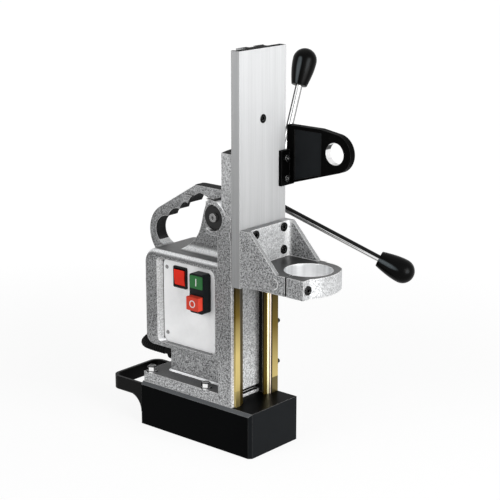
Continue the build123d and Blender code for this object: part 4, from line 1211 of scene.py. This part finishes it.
class Paint(Enum):
    """The finishes of the stand."""

    CAST = StandFinish("cast_silver")
    COLLAR = CollarFinish("collar_cast")
    BRUSHED = BrushedFinish("slide_brushed")
    BRASS = WayFinish("way_brass")
    BUSH = BrushedFinish("bush_bronze", color=(0.35, 0.2, 0.07, 1.0), rough=0.35, metal=0.8, streak=500.0)
    RACK = BrushedFinish("rack_steel", color=grey(0.4), rough=0.3, metal=0.8, streak=500.0)
    ENAMEL = PaintFinish(
        "magnet_enamel", color=grey(0.001, 0.2), front=grey(0.012, 0.1), rough=0.3, specular=0.02,
        edge=0.0011, bevel_light_and_shade=grey(0.12, 0.05), line=grey(0.55),
    )
    BRACKET = BracketFinish("bracket_enamel", color=grey(0.001), rough=0.38, specular=0.02, bevel_light_and_shade=grey(0.06))
    PANEL = PaintFinish(
        "panel_sheet", color=grey(0.95, 0.005), front=grey(0.9), rough=0.4, peel=1400.0,
        edge=0.0003, bevel_light_and_shade=grey(0.9), line=grey(0.95),
    )
    SWITCH = MouldedFinish("switch_black", color=grey(0.006), specular=0.12)
    MOTOR = MouldedFinish("motor_switch", color=(0.004, 0.006, 0.007, 1.0), rough=0.32, specular=0.12)
    RED = MouldedFinish("rocker_red", color=(0.86, 0.03, 0.012, 1.0), grain=900.0, specular=0.15)
    STOP = MouldedFinish("stop_red", color=(0.66, 0.055, 0.03, 1.0), grain=900.0, specular=0.15)
    GREEN = MouldedFinish("start_green", color=(0.03, 0.15, 0.045, 1.0), grain=900.0, specular=0.15)
    MARK = MouldedFinish("mark_white", color=grey(0.8), rough=0.5, grain=900.0, depth=0.00001)
    BOW = MouldedFinish("bow_black", color=grey(0.003), rough=0.34, grain=900.0, specular=0.07)
    RUBBER = MouldedFinish("lead_rubber", color=grey(0.003), rough=0.5, grain=1100.0, specular=0.08)
    RESIN = MouldedFinish("potting_resin", color=grey(0.02), rough=0.5, grain=200.0, depth=0.0002)
    STEEL = MetalFinish("bright_steel", color=grey(0.55), rough=0.24)
    OXIDE = MetalFinish("black_oxide", color=grey(0.006), rough=0.34, metal=0.85, edge=0.0004, edge_highlight=0.35)
    LIP_SCREW = MetalFinish("lip_screw", color=grey(0.012), rough=0.3, metal=0.85, edge=0.0005, edge_highlight=0.9)
    SCREW = MetalFinish(
        "panel_screw", color=grey(0.22), rough=0.3, metal=0.7, edge=0.0004, line=grey(0.95), edge_highlight=0.8,
    )
    WASHER = WasherFinish("end_washer", color=grey(0.004), rough=0.35, metal=0.5)
    CHROME = ChromeFinish("lever_chrome")
    ZINC = ChromeFinish("bolt_zinc", light=grey(0.9), top=grey(0.6))
    KNOB = KnobFinish("knob_gloss")
    COPPER = WireFinish("coil_wire")
    BOARD = BoardFinish("circuit_board")


NODE_PAINT = {
    "magnet_case": Paint.ENAMEL,
    "magnet_coil": Paint.COPPER,
    "magnet_potting": Paint.RESIN,
    "stand_casting": Paint.CAST,
    "brass_way": Paint.BRASS,
    "panel_plate": Paint.PANEL,
    "magnet_switch": Paint.SWITCH,
    "magnet_rocker": Paint.RED,
    "motor_switch": Paint.MOTOR,
    "start_button": Paint.GREEN,
    "stop_button": Paint.STOP,
    "circuit_board": Paint.BOARD,
    "strap_bow": Paint.BOW,
    "bow_screw": Paint.OXIDE,
    "magnet_lead": Paint.RUBBER,
    "lead_gland": Paint.BOW,
    "mains_gland": Paint.BOW,
    "drill_outlet": Paint.SWITCH,
    "bush": Paint.BUSH,
    "way_screw": Paint.OXIDE,
    "plate_screw": Paint.STEEL,
    "flange_bolt": Paint.ZINC,
    "feed_shaft": Paint.STEEL,
    "pinion": Paint.STEEL,
    "feed_hub": Paint.OXIDE,
    "end_washer": Paint.WASHER,
    "end_screw": Paint.SCREW,
    "lever_rod": Paint.CHROME,
    "lever_knob": Paint.KNOB,
    "slide_plate": Paint.BRUSHED,
    "feed_rack": Paint.RACK,
    "rack_screw": Paint.OXIDE,
    "collar_bracket": Paint.COLLAR,
    "collar_screw": Paint.OXIDE,
    "clamp_screw": Paint.OXIDE,
    "upper_bracket": Paint.BRACKET,
    "lip_screw": Paint.LIP_SCREW,
}


def dress_nodes() -> None:
    """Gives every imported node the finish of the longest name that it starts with."""
    for name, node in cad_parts.items():
        key = max((key for key in NODE_PAINT if name.startswith(key)), key=len)
        node.data.materials.clear()
        node.data.materials.append(NODE_PAINT[key].value.material())
        log.info("dressed %s as %s", name, key)


def nodes_named(start: str) -> list[str]:
    """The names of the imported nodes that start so, in order."""
    return sorted(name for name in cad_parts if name.startswith(start))


def make_piece(
    name: str, mesh: bmesh.types.BMesh, paint: Paint, body: str
) -> bpy.types.Object:
    """Turns a bmesh into a piece that rides on a body.

    Args:
        name: The piece's name.
        mesh: The finished mesh, which is freed.
        paint: Its finish.
        body: The CAD body it rides on.

    Returns:
        The piece.
    """
    bmesh.ops.recalc_face_normals(mesh, faces=mesh.faces)
    data = bpy.data.meshes.new(name)
    mesh.to_mesh(data)
    mesh.free()
    data.polygons.foreach_set("use_smooth", [True] * len(data.polygons))
    data.set_sharp_from_angle(angle=SHARP_ANGLE)
    piece = bpy.data.objects.new(name, data)
    bpy.context.scene.collection.objects.link(piece)
    data.materials.append(paint.value.material())
    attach(piece, body)
    return piece


def slab(mesh: bmesh.types.BMesh, outline: Sequence[Vector], push: Vector) -> None:
    """Adds a plate with the given outline.

    Args:
        mesh: The mesh it is added to.
        outline: The corners of one face.
        push: From that face to the other.
    """
    near = [mesh.verts.new(point) for point in outline]
    far = [mesh.verts.new(point + push) for point in outline]
    mesh.faces.new(near)
    mesh.faces.new(list(reversed(far)))
    count = len(outline)
    for index in range(count):
        following = (index + 1) % count
        mesh.faces.new([near[index], near[following], far[following], far[index]])


def lathe(profile: Sequence[tuple[float, float]], stand: Matrix, sides: int) -> bmesh.types.BMesh:
    """Turns a profile round an axis.

    Args:
        profile: The radius and height of each ring, from the middle of one end to the middle of the other.
        stand: Where the axis, its Z, stands.
        sides: Faces round the axis.

    Returns:
        The closed mesh.
    """
    mesh = bmesh.new()
    rings = []
    for radius, height in profile:
        turns = [2 * math.pi * side / sides for side in range(sides if radius else 1)]
        places = [Vector((radius * math.cos(turn), radius * math.sin(turn), height)) for turn in turns]
        rings.append([mesh.verts.new(stand @ place) for place in places])
    bridge(mesh, rings, sides)
    return mesh


def bridge(mesh: bmesh.types.BMesh, rings: Sequence[Sequence[bmesh.types.BMVert]], sides: int) -> None:
    """Joins each ring to the next; a ring of one point closes an end.

    Args:
        mesh: The mesh the rings are in.
        rings: The rings in order.
        sides: Faces round each joint.
    """
    for low, high in zip(rings, rings[1:]):
        for side in range(sides):
            following = side + 1
            corners = [
                low[side % len(low)], low[following % len(low)],
                high[following % len(high)], high[side % len(high)],
            ]
            mesh.faces.new(list(dict.fromkeys(corners)))


def carved(solid: bmesh.types.BMesh, cutter: bmesh.types.BMesh) -> bmesh.types.BMesh:
    """Cuts one closed mesh out of another.

    Args:
        solid: The mesh that is cut, which is freed.
        cutter: The mesh that is taken away, which is freed.

    Returns:
        What is left.
    """
    holders = []
    for mesh in (solid, cutter):
        bmesh.ops.recalc_face_normals(mesh, faces=mesh.faces)
        data = bpy.data.meshes.new("carving")
        mesh.to_mesh(data)
        mesh.free()
        holder = bpy.data.objects.new("carving", data)
        bpy.context.scene.collection.objects.link(holder)
        holders.append(holder)
    cut = holders[0].modifiers.new("cut", "BOOLEAN")
    cut.object = holders[1]
    result = bmesh.new()
    result.from_object(holders[0], bpy.context.evaluated_depsgraph_get())
    for holder in holders:
        bpy.data.objects.remove(holder)
    return result


@dataclass
class MagnetLead:
    """The ribbed lead: out of the neck's gland, round behind the stand and into the box's gland."""

    route: tuple = (
        (-8.5, 65.9, 83.5), (-8.5, 80.0, 83.5), (-8.5, 97.0, 83.5), (-6.5, 110.5, 83.5),
        (0.5, 118.6, 83.6), (10.5, 120.5, 86.0), (20.0, 117.0, 95.0), (25.6, 110.0, 107.0),
        (27.0, 100.0, 115.5), (27.0, 92.0, 117.0), (27.0, 85.5, 117.0),
    )
    radius: float = 0.00475
    groove: float = 0.0009
    pitch: float = 0.0036
    plain: float = 0.0095
    length: float = 0.119
    rib_shares: tuple = (
        (0.0, 0.0), (0.08, 0.5), (0.18, 0.88), (0.32, 1.0), (0.5, 0.88), (0.6, 0.5), (0.68, 0.0),
    )
    steady: tuple = (-0.686, 0.0, 0.727)
    resolution: int = 16
    sides: int = 28

    def build(self) -> list[bpy.types.Object]:
        """Makes the lead.

        Returns:
            The one piece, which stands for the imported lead.
        """
        line = self.line()
        total = sum((last - first).length for first, last in zip(line, line[1:]))
        mesh = bmesh.new()
        rings = [self.ring(mesh, line, place, radius) for place, radius in self.rings(total)]
        bridge(mesh, rings, self.sides)
        mesh.faces.new(rings[0])
        mesh.faces.new(rings[-1])
        piece = make_piece("ribbed_lead", mesh, Paint.RUBBER, "stand")
        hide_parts("magnet_lead")
        return [piece]

    def line(self) -> list[Vector]:
        """Points read from the smooth curve that the route controls.

        Returns:
            The points, in order.
        """
        data = bpy.data.curves.new("lead_route", "CURVE")
        data.dimensions = "3D"
        spline = data.splines.new("NURBS")
        spline.points.add(len(self.route) - 1)
        for point, place in zip(spline.points, self.route):
            point.co = (*(MM * side for side in place), 1.0)
        spline.order_u = 3
        spline.use_endpoint_u = True
        spline.resolution_u = self.resolution
        holder = bpy.data.objects.new("lead_route", data)
        bpy.context.scene.collection.objects.link(holder)
        graph = bpy.context.evaluated_depsgraph_get()
        read = bpy.data.meshes.new_from_object(holder.evaluated_get(graph))
        points = [vertex.co.copy() for vertex in read.vertices]
        bpy.data.objects.remove(holder)
        return points

    def rings(self, total: float) -> list[tuple[float, float]]:
        """How far along the lead each ring is, and its radius: plain ends, and rounded ribs between them.

        Args:
            total: The lead's length.

        Returns:
            The distance and the radius of each ring.
        """
        floor = self.radius - self.groove
        count = int((total - 2 * self.plain) / self.pitch)
        first = (total - count * self.pitch) / 2
        rings = [(0.0, floor)]
        for rib in range(count):
            for along, rise in self.rib_shares:
                rings.append((first + (rib + along) * self.pitch, floor + self.groove * rise))
        return rings + [(total, floor)]

    def ring(
        self, mesh: bmesh.types.BMesh, line: Sequence[Vector], along: float, radius: float
    ) -> list[bmesh.types.BMVert]:
        """One ring square to the lead.

        Args:
            mesh: The mesh it is added to.
            line: The lead's middle line.
            along: How far along it the ring is.
            radius: The ring's radius.

        Returns:
            The ring's points.
        """
        left = along
        middle, heading = line[-1], (line[-1] - line[-2]).normalized()
        for first, last in zip(line, line[1:]):
            run = (last - first).length
            if left < run:
                middle, heading = first.lerp(last, left / run), (last - first).normalized()
                break
            left -= run
        across = Vector(self.steady)
        across = (across - heading * across.dot(heading)).normalized()
        upright = heading.cross(across)
        points = []
        for side in range(self.sides):
            turn = 2 * math.pi * side / self.sides
            outward = across * math.cos(turn) + upright * math.sin(turn)
            points.append(mesh.verts.new(middle + outward * radius))
        return points


@dataclass
class LeverKnobs:
    """The three drop-shaped grips on the feed levers."""

    apex: tuple = (0.063, -0.026, 0.265)
    first_turn: float = 92.6
    slant: float = 23.2
    reach: float = 0.1805
    length: float = 0.0435
    base: float = 0.0092
    belly: float = 0.0138
    belly_share: float = 0.68
    rim: float = 0.0009
    rim_cut: float = 0.3
    count: int = 3
    steps: int = 16
    sides: int = 56

    def build(self) -> list[bpy.types.Object]:
        """Makes the knobs.

        Returns:
            The three pieces.
        """
        return [self.knob(index) for index in range(self.count)]

    def knob(self, index: int) -> bpy.types.Object:
        """One knob on its lever.

        Args:
            index: The lever's number, from 0.

        Returns:
            The piece.
        """
        turn = math.radians(self.first_turn - 360 * index / self.count)
        slant = math.radians(self.slant)
        along = Vector((math.sin(slant), -math.cos(slant) * math.cos(turn), math.cos(slant) * math.sin(turn)))
        place = Vector(self.apex) + along * (self.reach - self.length)
        stand = Matrix.Translation(place) @ along.to_track_quat("Z", "Y").to_matrix().to_4x4()
        mesh = lathe(self.profile(), stand, self.sides)
        piece = make_piece(f"knob_grip_{index + 1}", mesh, Paint.KNOB, "feed")
        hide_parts(f"lever_knob_{index + 1}")
        return piece

    def profile(self) -> list[tuple[float, float]]:
        """The knob's outline: a flat base, a flank that swells to the belly and a round end.

        Returns:
            The radius and height of each ring.
        """
        swell = self.length * self.belly_share
        dome = self.length - swell
        cut = self.rim * self.rim_cut
        outline = [(0.0, 0.0), (self.base - self.rim, 0.0), (self.base - cut, cut)]
        for step in range(1, self.steps + 1):
            quarter = math.pi / 2 * step / self.steps
            height = self.rim + (swell - self.rim) * step / self.steps
            outline.append((self.base + (self.belly - self.base) * math.sin(quarter), height))
        for step in range(1, self.steps):
            quarter = math.pi / 2 * step / self.steps
            outline.append((self.belly * math.cos(quarter), swell + dome * math.sin(quarter)))
        return outline + [(0.0, self.length)]


@dataclass
class FootBolts:
    """The flanged hexagon bolts that hold the casting on the foot."""

    skirt: float = 0.0065
    skirt_height: float = 0.0016
    skirt_rim: float = 0.0006
    head_height: float = 0.0055
    corner: float = 0.00575
    chamfer: float = 0.0009
    dish: float = 0.0034
    dish_depth: float = 0.0005
    shank: float = 0.003
    sides: int = 36
    flats: int = 6

    def build(self) -> list[bpy.types.Object]:
        """Makes the bolts.

        Returns:
            The four pieces.
        """
        return [self.bolt(name) for name in nodes_named("flange_bolt")]

    def bolt(self, name: str) -> bpy.types.Object:
        """One bolt in its node's place.

        Args:
            name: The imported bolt's name.

        Returns:
            The piece.
        """
        low, high = (Vector(corner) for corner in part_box(name))
        middle = (low + high) / 2
        skirt_top = high.z - self.head_height
        seat = skirt_top - self.skirt_height
        stand = Matrix.Translation((middle.x, middle.y, 0.0))
        mesh = lathe([
            (0.0, low.z), (self.shank, low.z), (self.shank, seat),
            (self.skirt, seat), (self.skirt, skirt_top - self.skirt_rim),
            (self.skirt - self.skirt_rim, skirt_top), (0.0, skirt_top),
        ], stand, self.sides)
        head = lathe([
            (0.0, skirt_top), (self.corner, skirt_top), (self.corner, high.z - self.chamfer),
            (self.corner - self.chamfer, high.z), (self.dish, high.z),
            (self.dish - self.dish_depth, high.z - self.dish_depth), (0.0, high.z - self.dish_depth),
        ], stand, self.flats)
        data = bpy.data.meshes.new("bolt_head")
        head.to_mesh(data)
        head.free()
        mesh.from_mesh(data)
        bpy.data.meshes.remove(data)
        title = name.replace("flange_bolt", "foot_bolt")
        piece = make_piece(title, mesh, Paint.ZINC, "stand")
        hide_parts(name)
        return piece


@dataclass
class PanelScrews:
    """The domed cross-slot screws in the panel's corners."""

    head: float = 0.0023
    wall: float = 0.0003
    dome: float = 0.0009
    shank: float = 0.0012
    slot: float = 0.0005
    slot_reach: float = 0.0015
    slot_floor: float = 0.00025
    first_turn: float = 20.0
    next_turn: float = 25.0
    steps: int = 5
    sides: int = 32

    def build(self) -> list[bpy.types.Object]:
        """Makes the screws.

        Returns:
            The four pieces.
        """
        return [self.screw(name) for name in nodes_named("plate_screw")]

    def screw(self, name: str) -> bpy.types.Object:
        """One screw in its node's place, turned a little further than the one before it.

        Args:
            name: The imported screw's name.

        Returns:
            The piece.
        """
        low, high = (Vector(corner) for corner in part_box(name))
        middle = (low + high) / 2
        face = low.x + self.dome
        outward = Matrix.Translation((face, middle.y, middle.z)) @ Matrix.Rotation(-math.pi / 2, 4, "Y")
        profile = [(0.0, face - high.x), (self.shank, face - high.x), (self.shank, 0.0), (self.head, 0.0)]
        for step in range(self.steps):
            quarter = math.pi / 2 * step / self.steps
            rise = (self.dome - self.wall) * math.sin(quarter)
            profile.append((self.head * math.cos(quarter), self.wall + rise))
        profile.append((0.0, self.dome))
        cross = bmesh.new()
        turn = math.radians(self.first_turn + self.next_turn * int(name[-1]))
        turned = outward @ Matrix.Rotation(turn, 4, "Z")
        near, far = self.slot / 2, self.slot_reach
        corners = (
            (far, -near), (far, near), (near, near), (near, far), (-near, far), (-near, near),
            (-far, near), (-far, -near), (-near, -near), (-near, -far), (near, -far), (near, -near),
        )
        outline = [turned @ Vector((x, y, self.slot_floor)) for x, y in corners]
        slab(cross, outline, turned.to_3x3() @ Vector((0, 0, 2 * self.dome)))
        mesh = carved(lathe(profile, outward, self.sides), cross)
        title = name.replace("plate_screw", "panel_screw")
        piece = make_piece(title, mesh, Paint.SCREW, "stand")
        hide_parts(name)
        return piece


@dataclass
class SwitchMarks:
    """The on and off marks on the motor switch's two buttons."""

    middle_y: float = -0.0081
    start_face: float = -0.0458
    stop_face: float = -0.0520
    start_z: float = 0.1903
    stop_z: float = 0.16695
    bar_width: float = 0.0012
    bar_height: float = 0.0085
    ring_radius: float = 0.0042
    ring_width: float = 0.0011
    proud: float = 0.00015
    ring_points: int = 40

    def build(self) -> list[bpy.types.Object]:
        """Makes both marks.

        Returns:
            The two pieces.
        """
        return [self.bar(), self.ring()]

    def bar(self) -> bpy.types.Object:
        """The upright bar on the start button.

        Returns:
            The piece.
        """
        mesh = bmesh.new()
        half, tall = self.bar_width / 2, self.bar_height / 2
        corners = ((-half, -tall), (half, -tall), (half, tall), (-half, tall))
        outline = [Vector((self.start_face, self.middle_y + y, self.start_z + z)) for y, z in corners]
        slab(mesh, outline, Vector((-self.proud, 0, 0)))
        return make_piece("start_mark", mesh, Paint.MARK, "start_button")

    def ring(self) -> bpy.types.Object:
        """The ring on the stop button.

        Returns:
            The piece.
        """
        mesh = bmesh.new()
        turns = [2 * math.pi * step / self.ring_points for step in range(self.ring_points)]
        low, high = self.stop_face, self.stop_face - self.proud
        outer, inner = self.ring_radius, self.ring_radius - self.ring_width
        loops = [
            [
                mesh.verts.new((
                    x, self.middle_y + radius * math.cos(turn), self.stop_z + radius * math.sin(turn),
                ))
                for turn in turns
            ]
            for x, radius in ((low, outer), (high, outer), (high, inner), (low, inner))
        ]
        for first, second in zip(loops, loops[1:] + loops[:1]):
            for index in range(self.ring_points):
                following = (index + 1) % self.ring_points
                mesh.faces.new([first[index], first[following], second[following], second[index]])
        return make_piece("stop_mark", mesh, Paint.MARK, "stop_button")


@dataclass
class Studio:
    """The camera, the lamps, the pale floor and the white surroundings."""

    camera_place: tuple = (-1.2128, -1.0924, 0.6582)
    camera_turn: tuple = (74.86, 0.0, -49.25)
    focal_pixels: float = 1507.0
    picture_pixels: float = 500.0
    sensor: float = 36.0
    clip_end: float = 50.0
    target: tuple = (0.0, -0.02, 0.21)
    lamps: tuple = (
        ("key", (-0.15, -1.8, 0.55), 1.3, 38.0),
        ("side", (-1.9, 0.35, 0.8), 1.3, 15.0),
        ("top", (0.1, 0.1, 2.1), 1.2, 2.0),
    )
    ambient: float = 0.2
    floor_size: float = 12.0
    floor_drop: float = 0.0002
    floor_color: tuple = grey(0.84)
    floor_grain: float = 40.0
    floor_tones: tuple = (0.98, 0.03)
    floor_rough: float = 0.9
    near_glow: float = 0.8
    far_glow: float = 0.91
    glow_strength: float = 1.1
    near_reach: float = 0.3
    far_reach: float = 1.1

    def build(self) -> None:
        """Makes everything around the object."""
        self.camera()
        self.floor()
        self.world()
        for name, place, size, power in self.lamps:
            self.lamp(name, Vector(place), size, power)
        bpy.context.scene.view_settings.view_transform = "Standard"

    def camera(self) -> None:
        """Places the camera where the photograph's stood."""
        data = bpy.data.cameras.new("camera")
        data.sensor_width = self.sensor
        data.lens = self.sensor * self.focal_pixels / self.picture_pixels
        data.clip_end = self.clip_end
        camera = bpy.data.objects.new("camera", data)
        camera.location = self.camera_place
        camera.rotation_euler = [math.radians(angle) for angle in self.camera_turn]
        bpy.context.scene.collection.objects.link(camera)
        bpy.context.scene.camera = camera

    def lamp(self, name: str, place: Vector, size: float, power: float) -> None:
        """Adds one soft square lamp that looks at the object.

        Args:
            name: The lamp's name.
            place: Where it stands.
            size: Its side.
            power: Its power in watts.
        """
        data = bpy.data.lights.new(name, "AREA")
        data.shape = "SQUARE"
        data.size = size
        data.energy = power
        lamp = bpy.data.objects.new(name, data)
        lamp.location = place
        lamp.rotation_euler = (Vector(self.target) - place).to_track_quat("-Z", "Y").to_euler()
        bpy.context.scene.collection.objects.link(lamp)

    def seen(self, sheet: Sheet) -> Value:
        """One for rays from the camera, a mirror or a glass, and zero for the rest.

        Args:
            sheet: The floor's or the world's sheet.

        Returns:
            The mask.
        """
        path = sheet.node("ShaderNodeLightPath", {}, [])
        kinds = ("Camera", "Glossy", "Transmission")
        camera, glossy, passing = (Value(sheet, path.outputs[f"Is {kind} Ray"]) for kind in kinds)
        return camera.most(glossy).most(passing)

    def floor(self) -> None:
        """Lays the pale floor, which keeps the object's shadow."""
        mesh = bmesh.new()
        bmesh.ops.create_grid(mesh, x_segments=1, y_segments=1, size=self.floor_size)
        data = bpy.data.meshes.new("floor")
        mesh.to_mesh(data)
        mesh.free()
        floor = bpy.data.objects.new("floor", data)
        floor.location = (0.0, 0.0, -self.floor_drop)
        bpy.context.scene.collection.objects.link(floor)
        data.materials.append(self.floor_material())

    def floor_material(self) -> bpy.types.Material:
        """A pale ground that glows white far out, and less near the object, where its shadow shows.

        Returns:
            The material.
        """
        sheet = Sheet("floor_pale")
        base, fine = self.floor_tones
        sheet.set(
            Base_Color=sheet.shade(self.floor_color, base + sheet.noise(self.floor_grain) * fine),
            Roughness=self.floor_rough,
            Specular_IOR_Level=0.0,
        )
        glow = sheet.node("ShaderNodeEmission", {}, [WHITE, self.glow_strength])
        far = distance(sheet.x, sheet.y).ramp(self.near_reach, self.far_reach)
        share = self.seen(sheet) * (far * (self.far_glow - self.near_glow) + self.near_glow)
        blend = sheet.node("ShaderNodeMixShader", {}, [share, sheet.shader.outputs[0], glow.outputs[0]])
        sheet.feed(sheet.tree.nodes["Material Output"].inputs[0], blend.outputs[0])
        return sheet.material

    def world(self) -> None:
        """White surroundings to the camera and to mirrors, and a softer grey light for the rest."""
        world = bpy.data.worlds.new("studio")
        world.use_nodes = True
        bpy.context.scene.world = world
        sheet = WorldSheet(world)
        strength = self.seen(sheet) * (1.0 - self.ambient) + self.ambient
        sheet.feed(sheet.background.inputs["Color"], WHITE)
        sheet.feed(sheet.background.inputs["Strength"], strength)


class WorldSheet(Sheet):
    """The world's node tree."""

    def __init__(self, world: bpy.types.World) -> None:
        """Keeps the world's tree and its background.

        Args:
            world: The world to work on.
        """
        self.tree = world.node_tree
        self.background = self.tree.nodes["Background"]


def main() -> None:
    """Builds the studio, dresses the stand, and logs each piece as it is made."""
    logging.basicConfig(level=logging.INFO, format="%(message)s")
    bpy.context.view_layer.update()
    Studio().build()
    for assembly in (MagnetLead(), LeverKnobs(), FootBolts(), PanelScrews(), SwitchMarks()):
        for piece in assembly.build():
            log.info("made %s", piece.name)
    dress_nodes()


if __name__ == "__main__":
    main()
